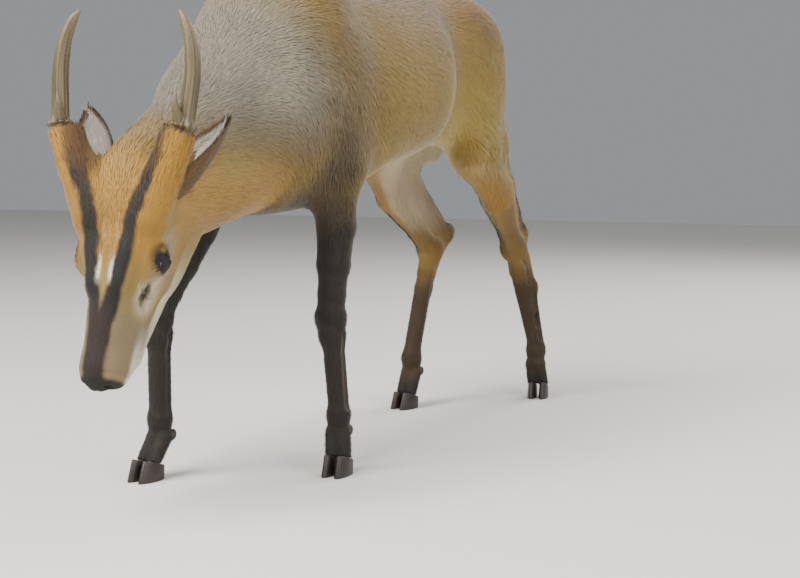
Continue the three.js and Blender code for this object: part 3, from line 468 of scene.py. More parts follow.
def coat_depth(p, g):
    """The skin's depth under the tips of the coat, and how far places belong to the head and the legs."""
    h, head, legs = g["h"], g["head"], np.minimum.reduce(g["legs"])
    body = np.minimum(np.minimum(g["trunk"], g["neck"]), np.minimum(g["shoulders"], g["haunches"]))
    on_head = 1 / (1 + np.exp((head - np.minimum(body, legs)) / 6))
    on_leg = 1 / (1 + np.exp((legs - np.minimum(body, head)) / 6))
    on_leg = on_leg * np.clip((330 - p[:, 2]) / 60, 0, 1)
    on_head = on_head * (1 - on_leg)
    face = np.clip((-h[:, 1] - 40) / 80, 0, 1)
    depth = BODY_DEPTH + on_head * (-HEAD_LOSS - FACE_LOSS * face) + on_leg * -LEG_LOSS
    top = np.clip((h[:, 1] + 30) / 40, 0, 1) * (pedicle_field(h) < 8)
    return depth + top * PEDICLE_GAIN * on_head, on_head, on_leg


def skin_field(p):
    g = groups(p)
    h = g["h"]
    near = (g["head"] < 30) & (h[:, 1] < -20)
    d = changed(leg_details(p, body_field(g)), near, lambda old: face_details(h[near], old))
    return hoof_tops(p, flat_top(h, d + coat_depth(p, g)[0]))


def flat_top(h, d):
    """Cuts the pedicles flat, just under the antlers."""
    near = inside(h, *PEDICLE_BOX)

    def cut(old):
        past = (mirrored(h[near]) - PEDICLE_TOP) @ unit(PEDICLE_AXIS) + 1.6
        return np.where(pedicle_field(h[near]) < 10, carve(old, -past, 3), old)

    return changed(d, near, cut)


def hoof_tops(p, d):
    """Ends the skin on the sloping top of each hoof."""
    near = p[:, 2] < 45

    def cut(old):
        q, end = p[near], np.full(len(old), FAR)
        for leg in LEGS.values():
            for way in (1, -1):
                spot, toe, _ = claw_place(leg, way)
                a = q[:, :2] - spot
                plane = HOOF_HEIGHT + 0.3 * (a @ toe) + 0.2 - q[:, 2]
                end = np.where(np.hypot(*a.T) < 26, np.minimum(end, plane), end)
        return np.where(end < FAR, carve(old, -end, 2), old)

    return changed(d, near, cut)


BATCH = 6000  # points worked on together
PROBE, REACH = 0.35, 9.0  # step of a slope, and the furthest that a point moves


def draw_onto(field, p, passes):
    """Moves points onto the surface of a field, a batch of neighbours at a time."""
    order = np.argsort(p[:, 1] + 0.001 * p[:, 2], kind="stable")
    done = p.copy()
    for some in np.array_split(order, max(1, len(p) // BATCH)):
        q = start = p[some]
        for _ in range(passes):
            d = field(q)
            n = np.stack([(field(q + PROBE * e) - d) / PROBE for e in np.eye(3)], 1)
            q = q - n * (d / np.maximum((n * n).sum(1), 0.25))[:, None]
            q = start + np.clip(q - start, -REACH, REACH)
        done[some] = q
    return done


# The markings, shared by the skin and the coat, with some painted light and shade
def srgb(*rgb):
    c = np.array(rgb, float) / 255
    return np.where(c <= 0.04045, c / 12.92, ((c + 0.055) / 1.055) ** 2.4)


TONES = {
    "ochre": srgb(128, 104, 44), "back": srgb(104, 76, 32), "flank": srgb(142, 120, 56),
    # the dark tone at the upper arms and elbows is painted shade
    "shoulder": srgb(100, 80, 36), "arm_shade": srgb(50, 36, 18), "lilac": srgb(112, 106, 94),
    # the lighter tone on the back and outer side of the forelegs is painted light
    "throat": srgb(154, 140, 84), "belly": srgb(172, 152, 106), "leg": srgb(28, 20, 12),
    "leg_lit_side": srgb(66, 52, 24), "gaskin": srgb(140, 106, 42), "hock": srgb(116, 90, 40),
    "cannon": srgb(58, 44, 22), "foot": srgb(24, 18, 13), "white": srgb(206, 198, 178),
    "orange": srgb(150, 110, 34), "black": srgb(12, 7, 5), "bridge": srgb(30, 14, 8),
    "cheek": srgb(138, 114, 58), "muzzle": srgb(112, 98, 76), "grey": srgb(142, 132, 114),
    "brush": srgb(72, 46, 16), "earback": srgb(86, 62, 26), "earin": srgb(158, 148, 138),
    "tail": srgb(118, 72, 32),
}


def step(x, a, b):
    t = np.clip((x - a) / (b - a), 0, 1)
    return t * t * (3 - 2 * t)


def fade(x, a, b):
    return 1 - step(x, a, b)


def painted(c, layers):
    """Colours with one tone after another laid over them."""
    for tone, weight in layers:
        c = c + (TONES[tone] - c) * np.clip(weight, 0, 1)[:, None]
    return c


def wave(p, scale, seed=0):
    """Soft blotches made of a few sine waves."""
    x, y, z = (p / scale).T
    return (np.sin(x * 1.7 + seed + 1.3 * np.sin(y * 1.1 + seed))
            + np.sin(y * 1.9 + 1.7 * np.sin(z * 1.3 - seed))
            + np.sin(z * 2.1 + seed * 2 + 1.1 * np.sin(x * 0.9))) / 3


# At places along the head: half the distance between its two dark stripes, and their width
STRIPE_PLACE = (-190, -150, -128, -100, -70, -45, -20, 10, 40), (3, 6, 10, 15, 19, 26, 36, 44, 50)
STRIPE_WIDTH = (-200, -150, -120, -90, -50, -10, 30), (6, 7.5, 8, 8, 8.5, 9, 10)
GLAND = (-122, -27)  # along the head, and across its side


def markings(p, n):
    """The colour of skin and hair at places on the body, with painted shade at the upper arms and elbows and
    painted light on the lit side of the forelegs.
    """
    g = groups(p)
    on_head = coat_depth(p, g)[1]
    x, y, z = p.T
    down = -n[:, 2]
    # Distance from the patch of painted shade round the upper arms and elbows
    elbow = np.hypot((y + 26 + 5 * wave(p, 20)) / 40, (z - 318) / 84)
    c = painted(np.repeat(TONES["ochre"][None], len(p), 0), (
        ("back", step(z, 470, 530) * 0.9),
        ("flank", step(y, 170, 260) * fade(z, 400, 480) * 0.7),
        ("shoulder", fade(y, 0, 90) * fade(z, 450, 520) * 0.9),
        # painted shade: a dark patch round the upper arms and elbows
        ("arm_shade", fade(elbow, 0.35, 1.15) * 0.75),
        ("lilac", step(-y, 30, 95) * step(z, 330, 400) * 0.85),
        ("throat", step(-y, 95, 160) * fade(z, 300, 372) * 0.8),
        ("belly", step(down, 0.72, 0.95) * step(y, 60, 150) * (z < 400) * 0.85),
        ("belly", step(down, 0.1, 0.7) * step(y, 270, 330) * step(z, 300, 350) * 0.8)))
    for leg, field in zip(LEGS.values(), g["legs"]):
        s = leg["side"]
        mine = np.clip(1 - (field - np.minimum.reduce(g["legs"])) / 6, 0, 1) * (x * s > 0)
        if leg["fore"]:
            low = mine * fade(z, 262 + 12 * wave(p, 16), 322)
            # painted light: the back and outer side of each foreleg is made lighter, where light falls on it
            back = step(n[:, 1] * 0.7 + n[:, 0] * s * 0.6, 0.35, 0.9)
            layers = (("leg", low), ("leg_lit_side", low * back * 0.8))
        else:
            inner = step(-n[:, 0] * s, 0.15, 0.65)
            layers = (("gaskin", mine * fade(z, 300, 360)),
                      ("white", mine * inner * step(z, 226, 262) * fade(z, 350, 400) * 0.4),
                      ("hock", mine * fade(z, 230, 280) * 0.8),
                      ("cannon", mine * fade(z, 150 + 8 * wave(p, 9), 215)))
        c = painted(c, (*layers, ("foot", mine * fade(z, 22, 62))))
    c = painted(c, head_layers(g["h"], on_head, n @ HEAD))
    on_tail = (g["tail"] < 6) & (y > 446)
    c = painted(c, (("tail", on_tail * 1.0), ("white", on_tail * step(-n[:, 1], -0.1, 0.5) * (z < 500))))
    shade = 1 + 0.10 * wave(p, 38, 1) + 0.06 * wave(p, 11, 4)
    return np.clip(c * shade[:, None], 0, 1)


def head_layers(h, k, nh):
    """The tones of the head, where k says how far a place belongs to it."""
    ax, y, z = np.abs(h[:, 0]), h[:, 1], h[:, 2]
    top = step(nh[:, 2], -0.2, 0.4)
    from_stripe = np.abs(ax + 1.6 * wave(h, 7, 2) - np.interp(y, *STRIPE_PLACE))
    width = np.interp(y, *STRIPE_WIDTH)
    inner = step(nh[:, 0] * -np.sign(h[:, 0]), 0.0, 0.6) * step(y, -40, -10)
    line = fade(np.abs(ax - 6.8 - 0.03 * (y + 86)), 1.4, 2.8)
    lips = fade(y, -190, -145) * step(-z + 2 * wave(h, 9), 28, 36)
    from_eye = np.linalg.norm(mirrored(h) - EYE_CENTRE, axis=1)
    along_gland, across_gland = y - GLAND[0], z - GLAND[1]
    return (
        ("cheek", k),
        ("grey", k * fade(np.hypot((y + 88) / 34, (z + 34) / 24), 0.45, 1.1) * 0.75),
        ("orange", k * step(y, -118, -84) * (top * (ax < 60)) * 0.95),
        ("orange", k * step(y, -62, -30) * step(z, -34, -16)),
        ("orange", k * step(y, -20, 10) * 0.5),
        ("muzzle", k * fade(y, -158, -118) * 0.8),
        ("black", k * fade(from_stripe, width * 0.62, width * 1.1) * step(z, -30, -20) * (y > -206)
         * (1 - 0.55 * step(y, -30, 16))),
        ("bridge", k * fade(ax, 8, 13.5) * fade(y, -150, -128) * step(z, -24, -12)),
        ("brush", k * inner * 0.8),
        ("brush", k * step(y, 12, 26) * 0.45),
        ("white", k * line * step(y, -124, -112) * fade(y, -72, -58) * top),
        ("white", k * lips * 0.95),
        ("white", k * step(-z, 58, 66) * fade(y, -120, -60) * 0.8),
        ("throat", k * step(-z, 66, 84) * 0.7),
        ("black", k * fade(from_eye, 14.6, 18.4)),
        ("white", k * (ax > 14) * fade(np.hypot((y + 124) / 24, (z + 30) / 15), 0.4, 1.1) * 0.4),
        ("black", k * (ax > 18) * fade(np.hypot(along_gland / 13, across_gland / 4.5), 0.7, 1.2) * 0.9),
        ("black", k * fade(y, -206, -200) * step(z, -42, -36)))


def mix(a, b, weight):
    w = weight[:, None]
    return a * (1 - w) + b * w


def lie(p, g):
    """Which way the hair lies: from the nose to the tail, and down the legs."""
    h, (x, y, z) = g["h"], p.T
    heading = lambda *way: np.stack([np.zeros(len(p)) + v for v in way], 1)
    _, on_head, on_leg = coat_depth(p, g)
    thigh, arm = heading(0, 0.55, -0.9), heading(0, 0.25, -1)
    nape = heading(np.sign(x) * 0.1, 1, 0.35 - 0.5 * step(np.abs(x + 6), 20, 60))
    out = heading(0, 1, -0.25 - 0.55 * step(np.abs(x), 40, 95))
    out = mix(out, thigh, step(y, 270, 380) * fade(z, 440, 540))
    out = mix(out, arm, fade(y, 20, 110) * fade(z, 380, 470) * (y > -110))
    out = mix(out, nape, step(-y, 60, 150))
    face = heading(0.25 * h[:, 0] / 40, 1, -0.25)
    pedicle = heading(np.sign(h[:, 0]) * PEDICLE_AXIS[0], *PEDICLE_AXIS[1:]) / np.linalg.norm(PEDICLE_AXIS)
    face = mix(face, pedicle, step(h[:, 1], -52, -22) * (pedicle_field(h) < 6))
    out = mix(out, face @ HEAD.T, on_head)
    out = mix(out, heading(0, 0.12, -1), on_leg)
    tail = (g["tail"] < 8) & (y > 446)
    out[tail] = unit(np.array(TAIL[2], float) - np.array(TAIL[1], float))
    return unit(out), on_head, on_leg, tail


# Meshes
def linked(name, data):
    """A new object in the scene, unturned and at the origin."""
    obj = bpy.data.objects.new(name, data)
    bpy.context.scene.collection.objects.link(obj)
    return obj


def new_object(name, verts, faces, mat):
    """A smooth mesh object, from an array of equal faces or a list of mixed ones."""
    mesh = bpy.data.meshes.new(name)
    if isinstance(faces, np.ndarray):
        mesh.vertices.add(len(verts))
        mesh.vertices.foreach_set("co", np.asarray(verts, np.float32).ravel())
        mesh.loops.add(faces.size)
        mesh.loops.foreach_set("vertex_index", faces.astype(np.int32).ravel())
        mesh.polygons.add(len(faces))
        mesh.polygons.foreach_set("loop_start", np.arange(0, faces.size, faces.shape[1], dtype=np.int32))
        mesh.update(calc_edges=True)
    else:
        mesh.from_pydata([tuple(v) for v in verts], [], faces)
    mesh.polygons.foreach_set("use_smooth", np.ones(len(mesh.polygons), bool))
    mesh.materials.append(mat)
    return linked(name, mesh)


def read(items, key, width=1, kind=np.float32):
    """One property of all the items of a mesh, a row or a number each."""
    values = np.empty(len(items) * width, kind)
    items.foreach_get(key, values)
    return values.reshape(-1, width) if width > 1 else values


def coords(mesh):
    return read(mesh.vertices, "co", 3).astype(float)


def set_coords(mesh, co):
    mesh.vertices.foreach_set("co", np.asarray(co, np.float32).ravel())
    mesh.update()


def set_colour(mesh, rgb):
    layer = mesh.color_attributes.new("coat", "FLOAT_COLOR", "POINT")
    rgba = np.concatenate((rgb, np.ones((len(rgb), 1))), 1)
    layer.data.foreach_set("color", rgba.astype(np.float32).ravel())


def vertex_normals(mesh):
    return read(mesh.vertex_normals, "vector", 3).astype(float)


def only(obj=None):
    """Selects one object, or none."""
    for o in bpy.context.selected_objects:
        o.select_set(False)
    if obj:
        obj.select_set(True)
        bpy.context.view_layer.objects.active = obj


def edit_all(obj, *actions):
    """Runs edit mode operators on the whole of a mesh."""
    only(obj)
    bpy.ops.object.mode_set(mode="EDIT")
    bpy.ops.mesh.select_all(action="SELECT")
    for action, options in actions:
        action(**options)
    bpy.ops.object.mode_set(mode="OBJECT")


def claim(obj, slot, *nodes):
    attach(obj, "root")
    if nodes:
        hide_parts(*nodes)


def material(name, roughness, colour=None, bump=None, coat=0.0, sheen=0.0):
    """A surface whose colour is one tone or the mesh's own colours, with a fine relief."""
    mat = bpy.data.materials.new(name)
    mat.use_nodes = True
    nodes, link = mat.node_tree.nodes, mat.node_tree.links.new
    shader = nodes["Principled BSDF"]

    def node(kind, **values):
        made = nodes.new(kind)
        for key, value in values.items():
            made.inputs[key].default_value = value
        return made

    for key, value in (("Roughness", roughness), ("Coat Weight", coat), ("Sheen Weight", sheen)):
        shader.inputs[key].default_value = value
    if colour is not None:
        shader.inputs["Base Color"].default_value = (*colour, 1)
    else:
        tint = node("ShaderNodeAttribute")
        tint.attribute_name = "coat"
        link(tint.outputs["Color"], shader.inputs["Base Color"])
    if bump:
        scale, distance, stretch = bump
        squeeze = node("ShaderNodeMapping", Scale=stretch)
        noise = node("ShaderNodeTexNoise", Scale=scale, Detail=4)
        relief = node("ShaderNodeBump", Distance=distance, Strength=0.6)
        link(node("ShaderNodeTexCoord").outputs["Object"], squeeze.inputs["Vector"])
        link(squeeze.outputs["Vector"], noise.inputs["Vector"])
        link(noise.outputs["Fac"], relief.inputs["Height"])
        link(relief.outputs["Normal"], shader.inputs["Normal"])
    return mat


def joined_copy(name, nodes, voxel):
    """One closed mesh made from copies of solid nodes."""
    copies = []
    for node in nodes:
        o = NODES[node].copy()
        o.data = NODES[node].data.copy()
        o.modifiers.clear()
        bpy.context.scene.collection.objects.link(o)
        o.parent = None
        o.matrix_world = Matrix()
        copies.append(o)
    only(copies[0])
    for o in copies:
        o.hide_viewport = False
        o.select_set(True)
    bpy.ops.object.join()
    made = bpy.context.view_layer.objects.active
    made.name = made.data.name = name
    made.data.remesh_voxel_size = voxel
    made.data.remesh_voxel_adaptivity = 0
    bpy.ops.object.voxel_remesh()
    made.data.materials.clear()
    return made


def refine(obj, chosen):
    """Splits the chosen faces of a mesh in four."""
    mesh = obj.data
    only(obj)
    bpy.context.tool_settings.mesh_select_mode = (False, False, True)
    picked = np.repeat(np.asarray(chosen, bool), read(mesh.polygons, "loop_total", kind=np.int32))
    for items, key in ((mesh.edges, "edge_index"), (mesh.vertices, "vertex_index")):
        marked = np.zeros(len(items), bool)
        marked[read(mesh.loops, key, kind=np.int32)[picked]] = True
        items.foreach_set("select", marked)
    mesh.polygons.foreach_set("select", chosen)
    bpy.ops.object.mode_set(mode="EDIT")
    bpy.ops.mesh.subdivide(number_cuts=1, smoothness=0)
    bpy.ops.object.mode_set(mode="OBJECT")


def centres(mesh):
    return from_row(read(mesh.polygons, "center", 3))


def head_mask(p, low):
    h = to_head(p)
    return (h[:, 1] < low) & (head_field(h) < 24)


def fine_places(h):
    """Round the eyes, the nose and the glands, in the head's frame."""
    m = mirrored(h)
    eye = np.linalg.norm(m - EYE_CENTRE, axis=1) < 24
    nose = (h[:, 1] < -182) & (m[:, 0] < 30) & (np.abs(h[:, 2] + 34) < 24)
    gland = np.linalg.norm((m - (28, *GLAND)) / (1, 1.6, 1), axis=1) < 12
    return eye | nose | gland


def tube_mesh(path, radii, sides, shape):
    """A swept tube, closed at both ends. shape(i, turns) scales the radius round ring i."""
    tangent = unit(np.gradient(path, axis=0))
    across = unit(np.cross(tangent[0], (0.3, 0.2, 0.9)))
    verts = []
    turns = np.linspace(0, 2 * math.pi, sides, endpoint=False)
    for i, (c, r) in enumerate(zip(path, radii)):
        across = unit(across - tangent[i] * (across @ tangent[i]))
        other = np.cross(tangent[i], across)
        k = r * shape(i, turns)
        verts.append(c + k[:, None] * (np.cos(turns)[:, None] * across + np.sin(turns)[:, None] * other))
    rings = len(path)
    first, last = rings * sides, rings * sides + 1
    faces, ends = [], []
    for j in range(sides):
        k = (j + 1) % sides
        ends += [(first, k, j), (last, (rings - 1) * sides + j, (rings - 1) * sides + k)]
    for i in range(rings - 1):
        for j in range(sides):
            k = (j + 1) % sides
            faces.append((i * sides + j, i * sides + k, (i + 1) * sides + k, (i + 1) * sides + j))
    return np.concatenate(verts + [path[:1], path[-1:]]), faces + ends


def curve_points(control, count):
    """A smooth curve through the control points."""
    c = np.asarray(control, float)
    c = np.vstack((2 * c[0] - c[1], c, 2 * c[-1] - c[-2]))
    t = np.linspace(0, len(c) - 3 - 1e-9, count)
    i = t.astype(int)
    u = (t - i)[:, None]
    a, b, d, e = c[i], c[i + 1], c[i + 2], c[i + 3]
    return 0.5 * (2 * b + (d - a) * u + (2 * a - 5 * b + 4 * d - e) * u**2 + (3 * b - a - 3 * d + e) * u**3)


# Settings of the pieces
class SkinSettings(bpy.types.PropertyGroup):
    voxel: FloatProperty(name="Grid step", description="Step of the first grid of the skin", default=0.0064,
                         min=0.002, max=0.01, unit="LENGTH")
    face_levels: IntProperty(name="Face levels", description="How often the face is refined", default=3,
                             min=2, max=3)


class CoatSettings(bpy.types.PropertyGroup):
    body_spacing: FloatProperty(name="Body spacing", description="Mean distance between tufts on the body",
                                default=0.0016, min=0.001, max=0.01, unit="LENGTH")
    head_spacing: FloatProperty(name="Head spacing", description="Mean distance between tufts on the head",
                                default=0.00105, min=0.0008, max=0.01, unit="LENGTH")
    leg_spacing: FloatProperty(name="Leg spacing", description="Mean distance between tufts on the legs",
                               default=0.0014, min=0.001, max=0.01, unit="LENGTH")
    body_length: FloatProperty(name="Body hair", description="Length of a tuft on the body", default=0.0125,
                               min=0.004, max=0.04, unit="LENGTH")
    piece_size: IntProperty(name="Tufts a piece", description="Most tufts in one piece", default=62000,
                            min=1000)


class AntlerSettings(bpy.types.PropertyGroup):
    ridge: FloatProperty(name="Ridge depth", description="Depth of the grooves, as a share of the radius",
                         default=0.10, min=0.0, max=0.3)


class LightSettings(bpy.types.PropertyGroup):
    key: FloatProperty(name="Key light", description="Power of the main soft light", default=190.0,
                       min=0, unit="POWER")
    fill: FloatProperty(name="Fill light", description="Power of the second and third soft lights",
                        default=60.0, min=0, unit="POWER")
    lens: FloatProperty(name="Lens", description="Focal length of the camera in millimetres",
                        default=63.54, min=10)


class MuntjacSettings(bpy.types.PropertyGroup):
    skin: PointerProperty(type=SkinSettings, name="Skin", description="The skin")
    coat: PointerProperty(type=CoatSettings, name="Coat", description="The coat of hair")
    antler: PointerProperty(type=AntlerSettings, name="Antlers", description="The antlers")
    light: PointerProperty(type=LightSettings, name="Light", description="Camera and lights")


def settings():
    return bpy.context.scene.muntjac


class MUNTJAC_OT_skin(bpy.types.Operator):
    """Make one closed skin over all the flesh of the body"""
    bl_idname = "muntjac.skin"
    bl_label = "Skin"

    def execute(self, context):
        s = settings().skin
        skin = joined_copy("skin", FLESH + ["eye_left", "eye_right"], s.voxel)
        mesh = skin.data
        set_coords(mesh, to_row(draw_onto(skin_field, from_row(coords(mesh)), 2)))
        c = centres(mesh)
        refine(skin, head_mask(c, 20) | (c[:, 2] < 240))
        refine(skin, head_mask(centres(mesh), -50))
        if s.face_levels > 2:
            refine(skin, fine_places(to_head(centres(mesh))))
        p = draw_onto(skin_field, from_row(coords(mesh)), 3)
        set_coords(mesh, to_row(p))
        set_colour(mesh, markings(p, vertex_normals(mesh)))
        only(skin)
        bpy.ops.object.shade_smooth()
        mesh.materials.append(material("skin", 0.82, bump=(900, 0.0006, (1, 1, 0.35))))
        claim(skin, "coat_body", *FLESH)
        return {"FINISHED"}


def unwrapped_base():
    """A light copy of the body's shape, unwrapped: its triangles and their places on the unwrap."""
    base = joined_copy("unwrap", FLESH, 0.008)
    edit_all(base, (bpy.ops.mesh.quads_convert_to_tris, {}),
             (bpy.ops.uv.smart_project, dict(angle_limit=math.radians(66), island_margin=0.002)))
    mesh = base.data
    tris = read(mesh.loops, "vertex_index", kind=np.int32).reshape(-1, 3)
    uv = read(mesh.uv_layers.active.data, "uv", 2).reshape(-1, 3, 2).astype(float)
    verts = coords(mesh)
    bpy.data.objects.remove(base)
    return verts, tris, uv


def unwrap_places(points):
    """Where points in the row frame fall on the unwrap of the body."""
    verts, tris, uv = unwrapped_base()
    tree = BVHTree.FromPolygons(verts.tolist(), tris.tolist())
    found = [tree.find_nearest(q) for q in points.tolist()]
    spot = np.array([f[0] for f in found])
    which = np.array([f[2] for f in found])
    a, b, c = (verts[tris[which, k]] for k in range(3))
    whole = np.cross(b - a, c - a)
    size = np.maximum((whole * whole).sum(1), 1e-18)
    wb = (np.cross(spot - a, c - a) * whole).sum(1) / size
    wc = (np.cross(b - a, spot - a) * whole).sum(1) / size
    w = np.clip(np.stack((1 - wb - wc, wb, wc), 1), 0, 1)
    return np.einsum("nk,nkc->nc", w, uv[which])


def scatter(rng, tri, spacing):
    """Random places on triangles: which triangle, and the weight of each corner."""
    area = np.linalg.norm(np.cross(tri[:, 1] - tri[:, 0], tri[:, 2] - tri[:, 0]), axis=1) / 2
    count = np.floor(area / spacing**2 + rng.random(len(area))).astype(int)
    which = np.repeat(np.arange(len(area)), count)
    a, b = rng.random(len(which)), rng.random(len(which))
    a, b = np.where(a + b > 1, 1 - a, a), np.where(a + b > 1, 1 - b, b)
    return which, np.stack((1 - a - b, a, b), 1)


# Lengths of hair: at places along the head, and at heights on the legs
FACE_HAIR = (-205, -170, -120, -60, 0), (2.2, 3.4, 5.0, 6.5, 9.0)
LEG_HAIR = (20, 60, 160, 300), (5.0, 6.5, 7.5, 11.0)
PEDICLE_HAIR, TAIL_HAIR = 11.0, 24.0
LIFT, HEAD_LIFT, PEDICLE_LIFT, TAIL_LIFT = 6.5, 1.5, 4.0, 5.0  # degrees, the last three on top of the first


def tuft_sizes(p, h, on_head, on_leg, tail, rng, body_length):
    """Length, width and lift of each tuft."""
    pedicle = (h[:, 1] > -30) & (pedicle_field(h) < 6)
    face = np.where(pedicle, PEDICLE_HAIR, np.interp(h[:, 1], *FACE_HAIR))
    leg = np.interp(p[:, 2], *LEG_HAIR)
    length = body_length * (1 - on_head) * (1 - on_leg) + face * on_head + leg * on_leg
    length = np.where(tail, TAIL_HAIR, length)
    belly = (p[:, 2] < 360) & (on_leg < 0.2) & (on_head < 0.2)
    length = length * np.where(belly, 1.15, 1.0)
    length = length * (0.75 + 0.5 * rng.random(len(p)))
    width = np.clip(0.45 + length * 0.06, 0.55, 1.5) * (0.8 + 0.4 * rng.random(len(p)))
    lift = LIFT + HEAD_LIFT * on_head + PEDICLE_LIFT * pedicle * on_head + TAIL_LIFT * tail
    return length, width, np.radians(lift * (0.6 + 0.8 * rng.random(len(p))))


TUFT_PATCH = np.array(((-1, -1), (1, -1), (-1, 0.4), (1, 0.4), (0, 1))) * 0.0015  # of a tuft, on the unwrap
TUFT_TRIANGLES = (0, 3, 1), (0, 2, 3), (2, 4, 3)
SIDE_LEAN, TIP_LEAN = 0.14, 0.15  # of a tuft's shading


def tufts(root, normal, way, length, width, lift, colour, uv):
    """Thin bent blades, each of two quarters and a tip, as plain arrays."""
    side = unit(np.cross(normal, way))
    L, W = length[:, None], width[:, None]
    up, out = np.sin(lift)[:, None], np.cos(lift)[:, None]
    mid = root + way * L * 0.5 * out + normal * L * 0.62 * up
    tip = root + way * L * out + normal * L * 0.9 * up
    low = root - normal * 0.4
    verts = np.stack((low - side * W / 2, low + side * W / 2,
                      mid - side * W * 0.42, mid + side * W * 0.42, tip), 1)
    left, right = normal - side * SIDE_LEAN, normal + side * SIDE_LEAN
    norms = np.stack((left, right, left, right, normal + way * TIP_LEAN), 1)
    tone = np.stack((colour * 0.90, colour * 0.90, colour, colour, np.minimum(colour * 1.06, 1)), 1)
    base = (np.arange(len(root)) * 5)[:, None]
    tris = np.concatenate([base + three for three in TUFT_TRIANGLES], 1).reshape(-1, 3)
    patch = np.clip(uv[:, None] + TUFT_PATCH[None], 0, 1)
    return verts.reshape(-1, 3), unit(norms).reshape(-1, 3), tone.reshape(-1, 3), tris, patch.reshape(-1, 2)


def without_strays(p, n, way, length, width, lift, *others):
    """Leaves out the tufts whose tips stand off the skin, as over a sharp edge."""
    tip = p + way * (length * np.cos(lift))[:, None] + n * (length * 0.9 * np.sin(lift))[:, None]
    off = np.concatenate([skin_field(q) for q in np.array_split(tip, max(1, len(tip) // BATCH))])
    keep = off < 1.2 + 0.28 * length
    return [v[keep] for v in (p, n, way, length, width, lift, *others)]


def tuft_object(name, parts, mat):
    verts, norms, tone, tris, patch = parts
    obj = new_object(name, to_row(verts), tris, mat)
    set_colour(obj.data, tone)
    layer = obj.data.uv_layers.new(name="OFBake")
    layer.data.foreach_set("uv", patch[tris.ravel()].astype(np.float32).ravel())
    obj.data.normals_split_custom_set_from_vertices(norms.astype(np.float32).tolist())
    return obj


def along_skin(way, n):
    """Lays directions along the skin. Where they point into it, they turn back and down."""
    t = way - n * (way * n).sum(1)[:, None]
    flat = np.linalg.norm(t, axis=1)
    back = np.repeat(np.array(((0, 0.8, -0.6),)), len(n), 0)
    back = back - n * (back * n).sum(1)[:, None]
    some = np.clip(1 - flat / 0.6, 0, 1)[:, None]
    return unit(t + back * some), np.clip(flat / 0.7, 0, 1)


def bare(p, h):
    """Where no hair grows: the eyes, the nose pad, the glands, under the burrs and on the hooves."""
    m = mirrored(h)
    eye = np.linalg.norm(m - EYE_CENTRE, axis=1) < EYE_RADIUS + 3.6
    pad = (h[:, 1] < -200) & (h[:, 2] > -40)
    gland = np.hypot((m[:, 1] - GLAND[0]) / 11, (m[:, 2] - GLAND[1]) / 2.6) < 1
    gland &= (m[:, 0] > 18) & (m[:, 0] < 40)
    way, q = unit(PEDICLE_AXIS), m - PEDICLE_TOP
    up = q @ way
    burr = (up > -3.5) & (np.linalg.norm(q - up[:, None] * way, axis=1) < 11)
    return eye | pad | gland | burr | (p[:, 2] < 17)


class MUNTJAC_OT_coat(bpy.types.Operator):
    """Grow the coat of short hair in tufts over the skin"""
    bl_idname = "muntjac.coat"
    bl_label = "Coat"

    def execute(self, context):
        s = settings().coat
        rng = np.random.default_rng(SEED)
        mesh = bpy.data.objects["skin"].data
        mesh.calc_loop_triangles()
        corner = read(mesh.loop_triangles, "vertices", 3, np.int32)
        verts, normals = from_row(coords(mesh)), vertex_normals(mesh)
        tones = read(mesh.color_attributes["coat"].data, "color", 4)[:, :3].astype(float)
        ways, on_head, on_leg, tail = lie(verts, groups(verts))
        marks = np.stack((on_head, on_leg, tail * 1.0), 1)
        head, leg = marks[corner].mean(1)[:, :2].T
        spacing = (s.body_spacing * 1000 * (1 - head) * (1 - leg) + s.head_spacing * 1000 * head
                   + s.leg_spacing * 1000 * leg)
        which, w = scatter(rng, verts[corner], spacing)
        p, n, way, tone, marks = (np.einsum("nk,nkc->nc", w, v[corner[which]])
                                  for v in (verts, normals, ways, tones, marks))
        keep = ~bare(p, to_head(p))
        p, n, way, tone, marks = (v[keep] for v in (p, unit(n), way, tone, marks))
        places = unwrap_places(to_row(p))
        on_head, on_leg, tail = marks[:, 0], marks[:, 1], marks[:, 2] > 0.5
        way = way + 0.08 * rng.standard_normal(way.shape)
        way = way + 0.08 * wave(p, 40, 5)[:, None] * np.array((0, 0, 1.0))
        way, flat = along_skin(way, n)
        length, width, lift = tuft_sizes(p, to_head(p), on_head, on_leg, tail, rng, s.body_length * 1000)
        length, lift = length * (0.5 + 0.5 * flat), lift * (0.4 + 0.6 * flat)
        length = length * (1 - 0.5 * step(-n[:, 2], 0.5, 0.9) * (1 - on_head) * ~tail)
        colour = tone * (0.94 + 0.12 * rng.random(len(p)))[:, None]
        colour = np.clip(colour * (1 + 0.03 * rng.standard_normal((len(p), 3))), 0, 1)
        *tuft, on_head, on_leg = without_strays(
            p, n, way, length, width, lift, colour, places, on_head, on_leg)
        mat = material("coat", 0.78, sheen=0.15)
        region = np.where(on_head > 0.5, 0, np.where(on_leg > 0.5, 1, 2))
        order = np.lexsort((tuft[0][:, 1], region))
        for k, some in enumerate(np.array_split(order, math.ceil(len(order) / s.piece_size))):
            claim(tuft_object(f"coat_{k + 1}", tufts(*(v[some] for v in tuft)), mat), "coat_body")
        return {"FINISHED"}


EAR_RINGS, EAR_SLICES = 36, 28
EAR_CURL = (1.9, 0.8)  # half the turn of the cup in radians, at its root and its tip
EAR_BOW = 4


